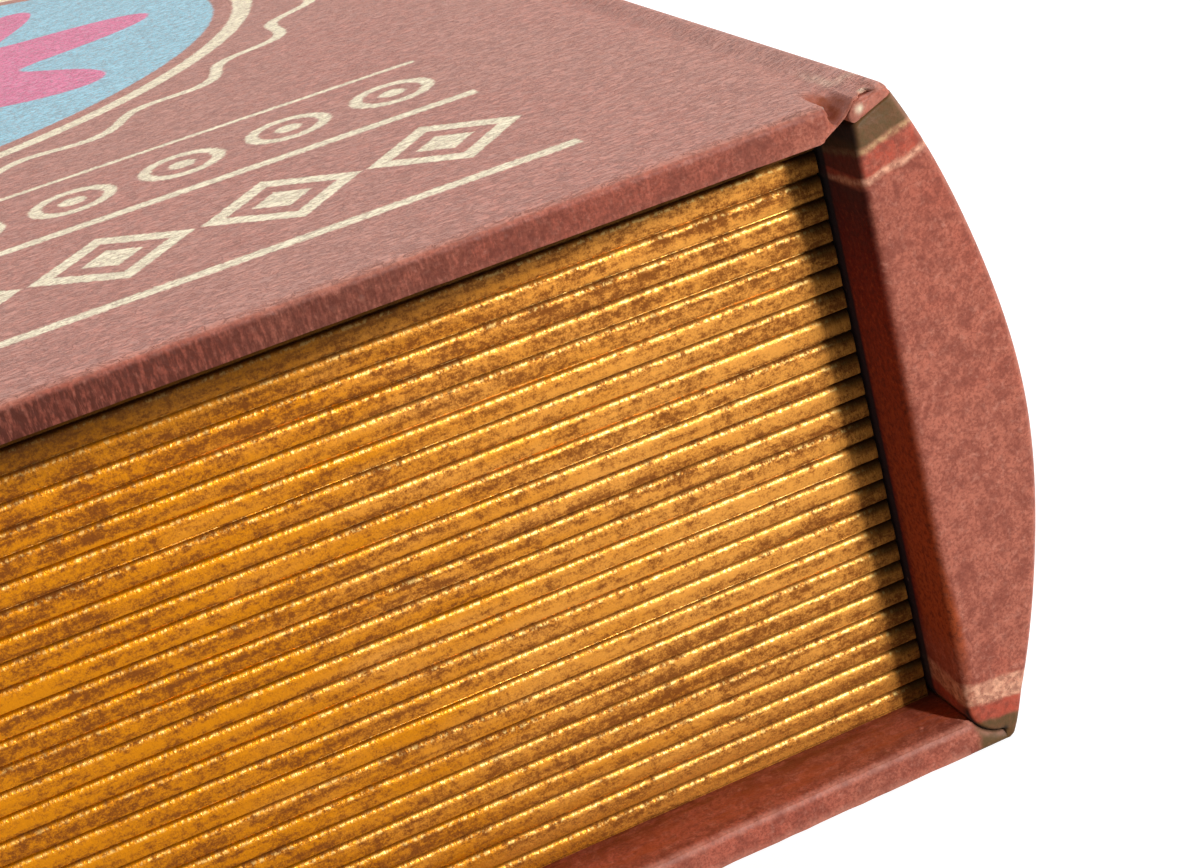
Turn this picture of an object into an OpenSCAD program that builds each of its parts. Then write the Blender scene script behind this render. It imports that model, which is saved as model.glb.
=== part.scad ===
// A keepsake box in the shape of a hardback book, lying on its back cover. The tray is edged
// with gold ribs that stand for its pages, the rounded spine is one solid block, and the front
// cover is the lid. X runs from the fore edge to the spine, Y from head to tail, Z is up, and
// the origin is under the middle of the closed box.

/* [Overall size] */
// Width from the fore edge to the crown of the spine
box_w = 170.8; // [150:0.2:220]
// Length from head to tail
box_l = 245; // [200:1:330]
// Height of the closed box at the lid
box_h = 70; // [60:1:90]

/* [Covers] */
// Thickness of a covered board
cover_t = 3.5; // [3.2:0.1:4]
// Thickness of the wrap sheet and of the lid's lining
wrap_t = 0.4; // [0.3:0.05:0.5]
// How far the covers stand past the pages at head, tail and fore edge
square_w = 7.7; // [5:0.1:10]
// Radius of the wrapped edges
edge_r = 1; // [0.7:0.05:1.4]
// Radius of the covers' corners, seen from above
corner_r = 1.5; // [1.2:0.1:3]

/* [Spine] */
// How far the spine's long edges stand past the tray
spine_edge = 4.55; // [4.3:0.05:6]
// Rise of the spine's curve over its long edges
spine_bulge = 8.8; // [5:0.1:12]
// How far the top of the spine stands over the lid
crest_rise = 0.4; // [0:0.05:0.6]
// How much of the curve's foot the table side cuts off
foot_cut = 0.8; // [0:0.1:1.5]
// Slit between the ends of the ribs and the spine
spine_gap = 0.4; // [0.2:0.05:0.6]
// Radius of the spine's outer edge at the table
spine_edge_r = 1.5; // [1:0.1:1.8]
// Radius of the spine's inner edge, where the back cover folds up to it
fold_r = 3.6; // [3.4:0.1:4]
// How far the top of the spine slopes down towards the pages
slope_h = 3; // [2:0.1:3.4]

/* [Pages] */
// Ribs up the height of the tray
ribs = 27; // [18:1:34]
// How far a rib stands out of its backing
rib_rise = 0.6; // [0.4:0.05:0.85]
// Width of the groove between two ribs
groove_w = 0.15; // [0.1:0.01:0.4]
// Thickness of the backing behind the ribs
rib_backing = 1; // [0.8:0.05:1.4]
// Radius at the free ends of the ribs
rib_end_r = 0.4; // [0.2:0.05:0.5]

/* [Tray] */
// Thickness of the four walls
wall_t = 4.5; // [3:0.5:7]
// Thickness of the floor board
floor_t = 2.5; // [2:0.5:4]
// Thickness of the lining sheets
lining_t = 0.4; // [0.3:0.05:0.8]
// Thickness of the paper over the rim
rim_t = 0.3; // [0.2:0.05:0.5]
// Room between the rim and the closed lid
lid_gap = 0.2; // [0.1:0.05:0.4]

/* [Joint] */
// Distance from the tray's spine end to the lid board's inner edge
joint_reach = 2.4; // [2.2:0.1:4]
// How far the lid board's end slants from its inner to its outer face
joint_slant = 1; // [1:0.1:2]
// Distance from the tray's spine end to the valley where the lid folds
valley_reach = 2.8; // [2.6:0.1:3.2]
// Depth of the valley along the joint
valley_d = 0.3; // [0.1:0.05:0.4]
// Thickness of the strip that lines the joint
strip_t = 0.35; // [0.2:0.05:0.4]

/* [Hidden] */
$fn = 96;

wrap_colour = [0.60, 0.40, 0.36];
joint_colour = [0.48, 0.28, 0.25];
board_colour = [0.62, 0.60, 0.56];
mdf_colour = [0.72, 0.58, 0.42];
gold_colour = [0.82, 0.58, 0.18];
lining_colour = [0.42, 0.30, 0.24];

// Ends of the covers
fore_x = -box_w / 2;
head_y = -box_l / 2;
tail_y = box_l / 2;

// Spine end of the tray, and the arc of the spine about its own centre
tray_x = box_w / 2 - spine_bulge - spine_edge;
spine_top_z = box_h + crest_rise;
spine_mid_z = (spine_top_z - foot_cut) / 2;
arc_half_h = (spine_top_z + foot_cut) / 2;
spine_r = (arc_half_h * arc_half_h + spine_bulge * spine_bulge) / (2 * spine_bulge);
spine_c_x = box_w / 2 - spine_r;
spine_face_x = tray_x + spine_gap;

// Levels of the tray
lid_z = box_h - cover_t;
rim_z = lid_z - lid_gap;
wall_top_z = rim_z - rim_t;
board_in_z = cover_t - wrap_t;
floor_top_z = board_in_z + floor_t;

// Faces of the page block, from its ribs inwards
page_x = fore_x + square_w;
page_y = tail_y - square_w;
rib_depth = rib_rise + rib_backing;
wall_x = page_x + rib_depth;
wall_y = page_y - rib_depth;
cavity_x = wall_x + wall_t;
cavity_y = wall_y - wall_t;
spine_wall_x = tray_x - wall_t;

// The wrap's turn-ins end under the walls
turn_in = square_w + rib_depth + wall_t;

// One rib, an arc on a chord
pitch = (wall_top_z - cover_t) / ribs;
rib_w = pitch - groove_w;
rib_r = (rib_w * rib_w / 4 + rib_rise * rib_rise) / (2 * rib_rise);

// Slant of the back board's end, and the fold where the wrap turns up round the spine
back_slant = 2;
fold_z = 1.2;
fold_x = tray_x + 3.8;

// Ends of the front joint
hinge_edge_x = tray_x - joint_reach;
slope_top_z = spine_top_z - 0.2;
slope_end_x = tray_x + spine_edge;
slope_rise = slope_h / (spine_edge - spine_gap);
strip_tip_x = tray_x + 1.6;
strip_tip_z = slope_top_z - (slope_end_x - strip_tip_x) * slope_rise;
valley_x = tray_x + valley_reach;
valley_w = 1;

// Carries a profile drawn in X and Z along Y
module along_y(y0, y1) {
    translate([0, y1, 0]) rotate([90, 0, 0]) linear_extrude(y1 - y0) children();
}

// Carries a profile drawn in Y and Z along X
module along_x(x0, x1) {
    translate([x0, 0, 0]) rotate([90, 0, 90]) linear_extrude(x1 - x0) children();
}

module block(low, high) {
    translate(low) cube(high - low);
}

module rounded_rect(x0, x1, y0, y1, r) {
    translate([x0 + r, y0]) square([x1 - x0 - 2 * r, y1 - y0]);
    translate([x0, y0 + r]) square([x1 - x0, y1 - y0 - 2 * r]);
    for (x = [x0 + r, x1 - r])
        for (y = [y0 + r, y1 - r])
            translate([x, y]) circle(r);
}

// A board with rounded head, tail and fore edges, inset from the cover's outline.
// It runs past the spine, where its end is cut.
module soft_board(z0, z1, inset) {
    x0 = fore_x + inset;
    y1 = tail_y - inset;
    past_x = box_w;
    intersection() {
        along_y(-y1, y1) rounded_rect(x0, past_x, z0, z1, edge_r - inset);
        along_x(x0, past_x) rounded_rect(-y1, y1, z0, z1, edge_r - inset);
        translate([0, 0, z0]) linear_extrude(z1 - z0)
            rounded_rect(x0, past_x, -y1, y1, corner_r - inset);
    }
}

// What the back cover keeps: its spine end slants out towards the table
module back_end() {
    along_y(head_y - 1, tail_y + 1) polygon([
        [fore_x - 1, 0], [tray_x + back_slant, 0], [tray_x, cover_t], [fore_x - 1, cover_t]
    ]);
}

// What the front cover keeps: its spine end slants out towards the outer face
module front_end() {
    along_y(head_y - 1, tail_y + 1) polygon([
        [fore_x - 1, lid_z], [hinge_edge_x, lid_z],
        [hinge_edge_x + joint_slant, box_h], [fore_x - 1, box_h]
    ]);
}

// The middle of a cover's inner face, which the turn-ins leave bare
module bare_middle(z0, z1) {
    block([fore_x + turn_in, head_y + turn_in, z0], [box_w, tail_y - turn_in, z1]);
}

module back_cover_board() {
    color(board_colour) intersection() {
        soft_board(wrap_t, board_in_z, wrap_t);
        back_end();
    }
}

module back_cover_wrap() {
    color(wrap_colour) difference() {
        intersection() {
            soft_board(0, cover_t, 0);
            back_end();
        }
        soft_board(wrap_t, board_in_z, wrap_t);
        bare_middle(board_in_z, cover_t + 1);
    }
}

// The wrap between the back board and the spine, two layers glued together
module back_joint_wrap() {
    color(joint_colour) difference() {
        along_y(head_y + wrap_t, tail_y - wrap_t) difference() {
            polygon([
                [tray_x + back_slant, 0], [fold_x, 0], [fold_x, fold_z],
                [tray_x + spine_gap, cover_t], [tray_x, cover_t]
            ]);
            translate([spine_face_x + fold_r, fold_z + fold_r]) circle(fold_r);
        }
        bare_middle(board_in_z, cover_t + 1);
    }
}

// The spine's curved side, with a small round at the table
module spine_curve(inset) {
    r = spine_r - inset;
    e = spine_edge_r - inset;
    rise = spine_mid_z - inset - e;
    edge_x = sqrt(pow(r - e, 2) - rise * rise);
    reach = r / (r - e);
    translate([spine_c_x, spine_mid_z]) {
        difference() {
            circle(r, $fn = 256);
            polygon([
                [edge_x, -rise], [edge_x, -spine_mid_z],
                [edge_x * reach + e, -spine_mid_z], [edge_x * reach, -rise * reach]
            ]);
        }
        translate([edge_x, -rise]) circle(e);
    }
}

// The spine's inner side: a large round over the back joint, a flat face and a sloped top
module spine_inner_side(inset) {
    face_x = spine_face_x + inset;
    round_x = spine_face_x + fold_r;
    round_z = fold_z + fold_r;
    polygon([
        [face_x, round_z], [round_x, round_z], [round_x, fold_z + inset],
        [fold_x + inset, fold_z + inset], [fold_x + inset, inset],
        [box_w / 2, inset], [box_w / 2, slope_top_z - inset],
        [slope_end_x, slope_top_z - inset], [face_x, slope_top_z - slope_h - inset]
    ]);
    translate([round_x, round_z]) circle(fold_r - inset);
}

// The spine with its rim rounded where the arc meets the head and the tail
module spine_solid(inset) {
    y1 = tail_y - inset;
    r = spine_r - inset;
    e = edge_r - inset;
    intersection() {
        along_y(-y1, y1) intersection() {
            spine_curve(inset);
            spine_inner_side(inset);
        }
        translate([spine_c_x, 0, spine_mid_z]) rotate([90, 0, 0]) rotate_extrude($fn = 256)
            translate([0, -y1]) intersection() {
                square([r, 2 * y1]);
                rounded_rect(-r, r, 0, 2 * y1, e);
            }
    }
}

module spine_block() {
    color(mdf_colour) spine_solid(wrap_t);
}

// The wrap over the arc and both ends, turned in on the inner face
module spine_wrap() {
    color(wrap_colour) difference() {
        spine_solid(0);
        spine_solid(wrap_t);
        block(
            [tray_x, head_y + turn_in, fold_z + fold_r],
            [spine_face_x + wrap_t, tail_y - turn_in, wall_top_z]
        );
    }
}

module tray_floor() {
    color(board_colour)
        block([cavity_x, -cavity_y, board_in_z], [spine_wall_x, cavity_y, floor_top_z]);
}

// A wall across one end of the tray, on the side of the given sign
module end_wall(side) {
    y0 = side > 0 ? cavity_y : -wall_y;
    block([wall_x, y0, cover_t], [tray_x, y0 + wall_t, wall_top_z]);
}

module head_wall() {
    color(mdf_colour) end_wall(-1);
}

module tail_wall() {
    color(mdf_colour) end_wall(1);
}

module fore_edge_wall() {
    color(mdf_colour)
        block([wall_x, -cavity_y, cover_t], [cavity_x, cavity_y, wall_top_z]);
}

// The fourth wall, whose raised outer face is glued to the spine block
module spine_wall() {
    color(mdf_colour) {
        block([spine_wall_x, -cavity_y, board_in_z], [tray_x, cavity_y, wall_top_z]);
        block([spine_wall_x, -cavity_y, fold_z + fold_r], [spine_face_x + wrap_t, cavity_y, wall_top_z]);
    }
}

// The ribs' profile: across the wall to the right, up the wall upwards
module rib_profile() {
    square([rib_backing, wall_top_z - cover_t]);
    for (i = [0 : ribs - 1])
        intersection() {
            translate([rib_backing + rib_rise - rib_r, (i + 0.5) * pitch]) circle(rib_r, $fn = 64);
            translate([rib_backing / 2, i * pitch]) square([rib_depth, pitch]);
        }
}

// Ribs along one end of the tray, mitred at the fore edge and rounded at the spine
module end_ribs() {
    intersection() {
        along_x(page_x, tray_x) translate([-wall_y, cover_t]) mirror([1, 0]) rib_profile();
        translate([0, 0, cover_t]) linear_extrude(wall_top_z - cover_t) difference() {
            polygon([
                [page_x, -page_y], [tray_x, -page_y], [tray_x, -wall_y], [wall_x, -wall_y]
            ]);
            translate([tray_x - rib_end_r, -page_y]) difference() {
                square([2 * rib_end_r, rib_end_r]);
                translate([0, rib_end_r]) circle(rib_end_r);
            }
        }
    }
}

module head_page_ribs() {
    color(gold_colour) end_ribs();
}

module tail_page_ribs() {
    color(gold_colour) mirror([0, 1, 0]) end_ribs();
}

module fore_edge_page_ribs() {
    color(gold_colour) intersection() {
        along_y(-page_y, page_y) translate([wall_x, cover_t]) mirror([1, 0]) rib_profile();
        translate([0, 0, cover_t]) linear_extrude(wall_top_z - cover_t) polygon([
            [page_x, -page_y], [wall_x, -wall_y], [wall_x, wall_y], [page_x, page_y]
        ]);
    }
}

// Paper over the tops of the walls, out to the crests of the ribs
module rim_paper() {
    lip = 0.1;
    color(gold_colour) difference() {
        block([page_x + lip, -page_y + lip, wall_top_z], [tray_x, page_y - lip, rim_z]);
        block(
            [cavity_x + lining_t, -cavity_y + lining_t, 0],
            [spine_wall_x - lining_t, cavity_y - lining_t, box_h]
        );
    }
}

module floor_lining() {
    color(lining_colour) block(
        [cavity_x + lining_t, -cavity_y + lining_t, floor_top_z],
        [spine_wall_x - lining_t, cavity_y - lining_t, floor_top_z + lining_t]
    );
}

// A lining sheet over one end wall
module end_lining(side) {
    y0 = side > 0 ? cavity_y - lining_t : -cavity_y;
    block([cavity_x, y0, floor_top_z], [spine_wall_x, y0 + lining_t, wall_top_z]);
}

module head_lining() {
    color(lining_colour) end_lining(-1);
}

module tail_lining() {
    color(lining_colour) end_lining(1);
}

// A lining sheet over one long wall, between the end linings
module side_lining(x0) {
    block(
        [x0, -cavity_y + lining_t, floor_top_z],
        [x0 + lining_t, cavity_y - lining_t, wall_top_z]
    );
}

module fore_edge_lining() {
    color(lining_colour) side_lining(cavity_x);
}

module spine_lining() {
    color(lining_colour) side_lining(spine_wall_x - lining_t);
}

module front_cover_board() {
    color(board_colour) intersection() {
        soft_board(lid_z + wrap_t, box_h - wrap_t, wrap_t);
        front_end();
    }
}

module front_cover_wrap() {
    color(wrap_colour) difference() {
        intersection() {
            soft_board(lid_z, box_h, 0);
            front_end();
        }
        soft_board(lid_z + wrap_t, box_h - wrap_t, wrap_t);
        bare_middle(lid_z - 1, lid_z + wrap_t);
    }
}

module front_cover_lining() {
    color(lining_colour) intersection() {
        bare_middle(lid_z, lid_z + wrap_t);
        front_end();
    }
}

// The wrap between the lid's board and the spine, with a shallow valley where it folds
module front_joint_wrap() {
    color(joint_colour) along_y(head_y + wrap_t, tail_y - wrap_t) intersection() {
        translate([spine_c_x, spine_mid_z]) circle(spine_r, $fn = 256);
        polygon([
            [hinge_edge_x + strip_t * joint_slant / cover_t, lid_z + strip_t],
            [hinge_edge_x + joint_slant, box_h],
            [valley_x - 2 * valley_w, box_h - valley_d / 3],
            [valley_x, box_h - valley_d],
            [valley_x + valley_w, box_h],
            [slope_end_x, spine_top_z],
            [box_w / 2, slope_top_z],
            [slope_end_x, slope_top_z],
            [strip_tip_x, strip_tip_z + strip_t]
        ]);
    }
}

// A strip that lines the joint from the lid board's inner edge to the spine
module joint_lining() {
    color(lining_colour) along_y(-cavity_y, cavity_y) polygon([
        [hinge_edge_x, lid_z],
        [hinge_edge_x + strip_t * joint_slant / cover_t, lid_z + strip_t],
        [strip_tip_x, strip_tip_z + strip_t],
        [strip_tip_x, strip_tip_z]
    ]);
}

back_cover_board();
back_cover_wrap();
back_joint_wrap();
spine_block();
spine_wrap();
tray_floor();
head_wall();
tail_wall();
fore_edge_wall();
spine_wall();
head_page_ribs();
tail_page_ribs();
fore_edge_page_ribs();
rim_paper();
floor_lining();
head_lining();
tail_lining();
fore_edge_lining();
spine_lining();
front_cover_board();
front_cover_wrap();
front_cover_lining();
front_joint_wrap();
joint_lining();
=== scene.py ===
"""A keepsake box in the shape of a hardback book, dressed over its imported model.

Sizes inside the mesh code are in millimetres, and each mesh is scaled to metres when it is made.
X runs from the fore edge to the spine, Y from head to tail, and Z is up.
"""

import math

import bpy
import numpy as np
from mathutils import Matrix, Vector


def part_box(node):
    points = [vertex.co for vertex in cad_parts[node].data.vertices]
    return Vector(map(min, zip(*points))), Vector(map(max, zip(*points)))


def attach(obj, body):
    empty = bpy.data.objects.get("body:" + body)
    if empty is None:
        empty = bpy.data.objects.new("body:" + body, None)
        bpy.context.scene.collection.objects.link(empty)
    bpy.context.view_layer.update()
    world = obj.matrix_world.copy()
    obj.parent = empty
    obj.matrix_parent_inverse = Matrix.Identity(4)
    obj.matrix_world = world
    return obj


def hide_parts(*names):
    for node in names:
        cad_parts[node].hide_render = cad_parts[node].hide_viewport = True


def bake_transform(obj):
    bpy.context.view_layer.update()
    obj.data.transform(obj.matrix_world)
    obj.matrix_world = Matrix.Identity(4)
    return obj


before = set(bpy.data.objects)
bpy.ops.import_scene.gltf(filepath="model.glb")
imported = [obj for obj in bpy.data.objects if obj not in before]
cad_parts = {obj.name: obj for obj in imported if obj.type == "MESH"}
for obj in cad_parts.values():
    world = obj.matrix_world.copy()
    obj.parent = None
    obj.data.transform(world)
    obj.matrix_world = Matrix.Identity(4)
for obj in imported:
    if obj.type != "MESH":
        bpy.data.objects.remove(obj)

bl_info = {
    "name": "Book Box",
    "version": (1, 0, 0),
    "blender": (4, 5, 0),
    "location": "3D View > Sidebar > Book Box",
    "description": "Builds the coverings, gilt page ribs, linings and stage of a book-shaped box",
    "category": "Object",
}

METRE = 1000.0  # millimetres in a metre
SHARP_ANGLE = 48  # degrees between two faces past which their edge is shaded sharp

# The camera, fitted to the photograph: its place in metres, and its turn in degrees
CAMERA_PLACE = (-0.01469, -0.30724, 0.13003)
CAMERA_TURN = (66.3553, 13.4069, -22.9434)
SENSOR_WIDTH = 36.0
LAMP_DISTANCE = 1.6


def box_of(node):
    """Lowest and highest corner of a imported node, in millimetres."""
    low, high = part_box(node)
    return np.array(low) * METRE, np.array(high) * METRE


# Main sizes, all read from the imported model
LID_LOW, LID_HIGH = box_of("front_cover_wrap")
BASE_LOW, BASE_HIGH = box_of("back_cover_wrap")
SPINE_LOW, SPINE_HIGH = box_of("spine_wrap")
PAGES_LOW, PAGES_HIGH = box_of("head_page_ribs")
LINING_LOW, LINING_HIGH = box_of("front_cover_lining")

FORE_X = LID_LOW[0]
HEAD_Y = LID_LOW[1]
TAIL_Y = LID_HIGH[1]
TOP_Z = LID_HIGH[2]
LID_Z = LID_LOW[2]
BASE_Z = BASE_HIGH[2]
TRAY_X = PAGES_HIGH[0]
CROWN_X = SPINE_HIGH[0]
SPINE_FACE_X = SPINE_LOW[0]
PAGE_TOP_Z = PAGES_HIGH[2]

# The lid's spine end slants, and its lower corner is where the joint starts
LID_END_X = LID_HIGH[0]
LID_END_LOW_X = box_of("joint_lining")[0][0]

# The spine's arc, whose foot the table side cuts, and the crest that stands over the lid
CREST_Z = box_of("front_joint_wrap")[1][2]
FOOT_CUT = 0.8
SPINE_BULGE = 8.8
MID_Z = (CREST_Z - FOOT_CUT) / 2
HALF_Z = (CREST_Z + FOOT_CUT) / 2
SPINE_R = (HALF_Z**2 + SPINE_BULGE**2) / (2 * SPINE_BULGE)
SPINE_C_X = CROWN_X - SPINE_R
FLATTER = 0.3

# Rounds of the spine's section
FOLD_R = 3.6
FOLD_Z = 1.2
FOLD_C_X = SPINE_FACE_X + FOLD_R
FOLD_C_Z = FOLD_Z + FOLD_R
FOLD_POWER = 1.75
TIP_X = TRAY_X + 4.1
TIP_Z = FOLD_Z + 0.1
FOOT_R = 0.8
SLOPE_Z = TOP_Z - 2.8
SLOPE_RISE = 0.38
SPINE_END_Z = SLOPE_Z + 1.8

# The rounded crest, where the joint's sheet turns over on to the arc
CREST_R = 1.8
CREST_C_X = SPINE_C_X + math.sqrt((SPINE_R - CREST_R) ** 2 - (CREST_Z - CREST_R - MID_Z) ** 2)
CREST_SWEEP = math.acos((CREST_Z - CREST_R - MID_Z) / (SPINE_R - CREST_R))
CREST_END_X = CREST_C_X + CREST_R * math.sin(CREST_SWEEP)

RIBS = 27
RIB_PITCH = (PAGE_TOP_Z - BASE_Z) / RIBS
SHEET_T = 0.35
VALLEY_X = 73.0
LIP_BEND_X = 72.35
PINCH_Z = 69.75

# The turned-in sheet under the joint starts with a pale lobe
TURN_IN_X = 72.55
LOBE_R = 0.75
LOBE_MARK = (73.6, 68.55)

# Marks on the joint's cut end: a worn fleck and a bare spot
FLECK = (70.7, 68.7)
BARE_SPOT = (74.7, 69.7)


def colour(red, green, blue):
    """A colour as a screen shows it, 0 to 255, turned into linear light."""
    def linear(c):
        c /= 255
        return c / 12.92 if c <= 0.04045 else ((c + 0.055) / 1.055) ** 2.4
    return (linear(red), linear(green), linear(blue))


def length_property(name, description, millimetres):
    """A length setting, kept in metres."""
    return bpy.props.FloatProperty(
        name=name, description=description, default=millimetres / METRE, min=0.0,
        subtype="DISTANCE", unit="LENGTH", precision=5,
    )


def colour_property(name, description, value):
    """A colour setting, in linear light."""
    return bpy.props.FloatVectorProperty(
        name=name, description=description, default=value, size=3, min=0.0, max=1.0, subtype="COLOR",
    )


class BookBoxSheet(bpy.types.PropertyGroup):
    """The printed sheet over the covers, the joints and the spine"""

    edge_radius: length_property("Edge radius", "Radius of the wrapped edges", 1.0)
    corner_radius: length_property("Corner radius", "Radius of the covers' corners from above", 1.5)
    valley_depth: length_property("Valley depth", "Depth of the valley along the joint", 0.22)
    waviness: length_property("Waviness", "How far the wrapped edges wander", 0.06)
    grain_size: length_property("Grain size", "Length of one pebble of the grain", 0.7)
    grain_height: length_property("Grain height", "Height of the pebbles", 0.09)
    ground: colour_property("Ground", "Main colour of the sheet", colour(184, 106, 84))
    shade: colour_property("Shade", "Darker colour of the mottling", colour(120, 54, 40))
    patch: colour_property("Patches", "Reddish patches", colour(190, 92, 70))
    # Painted shade in the pinched hollows at the joint's ends
    hollow: colour_property("Hollows", "Print in the pinched hollows", colour(152, 84, 58))
    # Painted shade: along the lid's front edge, and beside the pages on the back cover's inner face
    edge: colour_property("Lid's edge", "Darker print along the lid's front edge", colour(72, 22, 2))
    # Painted shade: the deepest tone of the spine's inner side
    inner_side_shade: colour_property("Inner side", "Dark print on the spine's inner side", colour(112, 10, 0))
    # Painted shade: a lighter tone of the spine's inner side lower down, also laid in streaks on the
    # back cover's inner face
    inner: colour_property("Inner foot", "Print at the foot of the inner side", colour(178, 80, 36))
    # Painted sheen: the greyer, lighter tone laid over the lid's top
    pale: colour_property("Pale top", "Greyer tone of the lid's top", colour(206, 158, 142))
    # Painted shade in the lines where two sheets meet and in the hole at the fold's tip
    gap_shade_colour: colour_property("Slits", "Lines where two sheets meet", (0.006, 0.003, 0.001))
    # Painted shade: near black, at the top of the spine's inner side and beside the pages
    deep_shade: colour_property("Deep shade", "Print where the spine lies deepest", (0.002, 0.0, 0.0))
    worn: colour_property("Worn edges", "Colour of the worn edges", colour(214, 148, 126))
    olive: colour_property("Olive stripe", "Dark stripe beside the joints", colour(86, 68, 34))
    cream: colour_property("Cream", "Printed lines and ornament", colour(250, 238, 204))
    salmon: colour_property("Stripe edges", "Ragged lines along the stripes", colour(246, 184, 150))
    tan: colour_property("Tan line", "Line between the olive and the red stripe", colour(196, 158, 112))
    red: colour_property("Red stripe", "Stripe between the cream lines", colour(186, 80, 58))
    blue: colour_property("Panel", "Field of the round panel", colour(150, 208, 226))
    pink: colour_property("Petals", "Petals in the round panel", colour(232, 108, 150))


class BookBoxPages(bpy.types.PropertyGroup):
    """The gilt ribs that stand for the pages"""

    rib_rise: length_property("Rib rise", "How far a rib stands out of its groove", 0.6)
    groove_width: length_property("Groove width", "Width of the groove between two ribs", 0.26)
    crinkle: length_property("Crinkle", "Height of the foil's crinkles", 0.016)
    gold: colour_property("Gold", "Foil", colour(220, 148, 62))
    # Painted shade: the foil deepens to this tint towards the fore edge, where less light falls
    fore_edge_shade_gold: colour_property("Deep gold", "Tint of the foil to the fore edge", colour(204, 124, 0))
    shadow: colour_property("Grooves", "Foil in the grooves and shaded places", (0.03, 0.008, 0.001))
    # Painted highlight along the ridge of a rib
    ridge_highlight: colour_property("Glint", "Pale foil along the ridge of a rib", colour(255, 222, 138))
    ink: colour_property("Ink", "Brown speckle printed on the foil", colour(120, 60, 22))


class BookBoxTray(bpy.types.PropertyGroup):
    """The tray's boards and linings"""

    lining: colour_property("Lining", "Lining paper", colour(120, 84, 66))
    board: colour_property("Board", "Grey board", colour(160, 152, 140))
    fibreboard: colour_property("Fibreboard", "Walls and spine block", colour(176, 140, 98))


class BookBoxStage(bpy.types.PropertyGroup):
    """Camera, lamps and floor"""

    lens: bpy.props.FloatProperty(
        name="Lens", description="Focal length", default=70.226, min=10.0, unit="CAMERA",
    )
    key_power: bpy.props.FloatProperty(
        name="Key lamp", description="Power of the key lamp", default=20.5, min=0.0, unit="POWER",
    )
    sky: bpy.props.FloatProperty(
        name="Sky", description="Strength of the world's light", default=1.0, min=0.0, max=2.0,
    )
    floor: colour_property("Floor", "Colour of the floor", (0.42, 0.42, 0.42))


class Nodes:
    """Adds nodes to one node tree. Values are numbers, colours or other nodes' sockets."""

    def __init__(self, tree):
        self.tree = tree

    def put(self, socket, value):
        """Joins another node's socket to this one, or sets this one's own value."""
        if isinstance(value, bpy.types.NodeSocket):
            self.tree.links.new(value, socket)
        elif value is not None:
            if socket.type == "RGBA" and len(value) == 3:
                value = (*value, 1.0)
            socket.default_value = value

    def add(self, kind, settings=None, **values):
        """A new node. Settings are its own properties, and values go to its named inputs."""
        made = self.tree.nodes.new("ShaderNode" + kind)
        for name, value in (settings or {}).items():
            setattr(made, name, value)
        for name, value in values.items():
            self.put(made.inputs[name.replace("_", " ")], value)
        return made

    def math(self, operation, *values):
        made = self.add("Math", {"operation": operation})
        for socket, value in zip(made.inputs, values):
            self.put(socket, value)
        return made.outputs[0]

    def chain(self, operation, first, others):
        for other in others:
            first = self.math(operation, first, other)
        return first

    def times(self, first, *others):
        return self.chain("MULTIPLY", first, others)

    def plus(self, first, *others):
        return self.chain("ADD", first, others)

    def most(self, first, *others):
        return self.chain("MAXIMUM", first, others)

    def least(self, first, *others):
        return self.chain("MINIMUM", first, others)

    def minus(self, first, other):
        return self.math("SUBTRACT", first, other)

    def size(self, value):
        return self.math("ABSOLUTE", value)

    def apart(self, first, other):
        """How far two values lie apart."""
        return self.size(self.minus(first, other))

    def vector_math(self, operation, *values, scale=None):
        made = self.add("VectorMath", {"operation": operation})
        for socket, value in zip(made.inputs, values):
            self.put(socket, value)
        if scale is not None:
            self.put(made.inputs["Scale"], scale)
        return made.outputs[1] if operation == "LENGTH" else made.outputs[0]

    def stretch(self, place, factors):
        return self.vector_math("MULTIPLY", place, factors)

    def mix(self, factor, first, second):
        made = self.add("Mix", {"data_type": "RGBA"})
        for number, value in zip((0, 6, 7), (factor, first, second)):
            self.put(made.inputs[number], value)
        return made.outputs[2]

    def coats(self, painted, *layers):
        """A colour with layers over it, each of which is a mask and its own colour."""
        for mask, paint in layers:
            painted = self.mix(mask, painted, paint)
        return painted

    def ramp(self, value, low, high, start=0.0, end=1.0):
        """Goes smoothly from start to end as value goes from low to high. Low may be the larger."""
        made = self.add(
            "MapRange", {"interpolation_type": "SMOOTHSTEP"},
            Value=value, From_Min=low, From_Max=high, To_Min=start, To_Max=end,
        )
        return made.outputs[0]

    def band(self, value, low, high, soft):
        """1 between low and high, with soft edges."""
        above = self.ramp(value, low - soft, low + soft)
        return self.times(above, self.ramp(value, high + soft, high - soft))

    def noise(self, place, scale, detail=2.0, roughness=0.5, distortion=0.0):
        made = self.add(
            "TexNoise", Vector=place, Scale=scale, Detail=detail, Roughness=roughness,
            Distortion=distortion,
        )
        return made.outputs[0]

    def split(self, vector):
        return self.add("SeparateXYZ", Vector=vector).outputs

    def join(self, x, y, z):
        return self.add("CombineXYZ", X=x, Y=y, Z=z).outputs[0]

    def attribute(self, name, output="Vector"):
        return self.add("Attribute", {"attribute_name": name}).outputs[output]

    def mask(self, name):
        return self.attribute(name, "Fac")

    def bump(self, height, distance, strength):
        return self.add("Bump", Height=height, Distance=distance, Strength=strength).outputs[0]

    def effect(self, name, place, **values):
        """The outputs of a shared effect, which is built when it is first used."""
        made = self.tree.nodes.new("ShaderNodeGroup")
        made.node_tree = bpy.data.node_groups.get(name) or EFFECTS[name](name)
        for label, value in {"Place": place, **values}.items():
            self.put(made.inputs[label], value)
        return made.outputs


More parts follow.
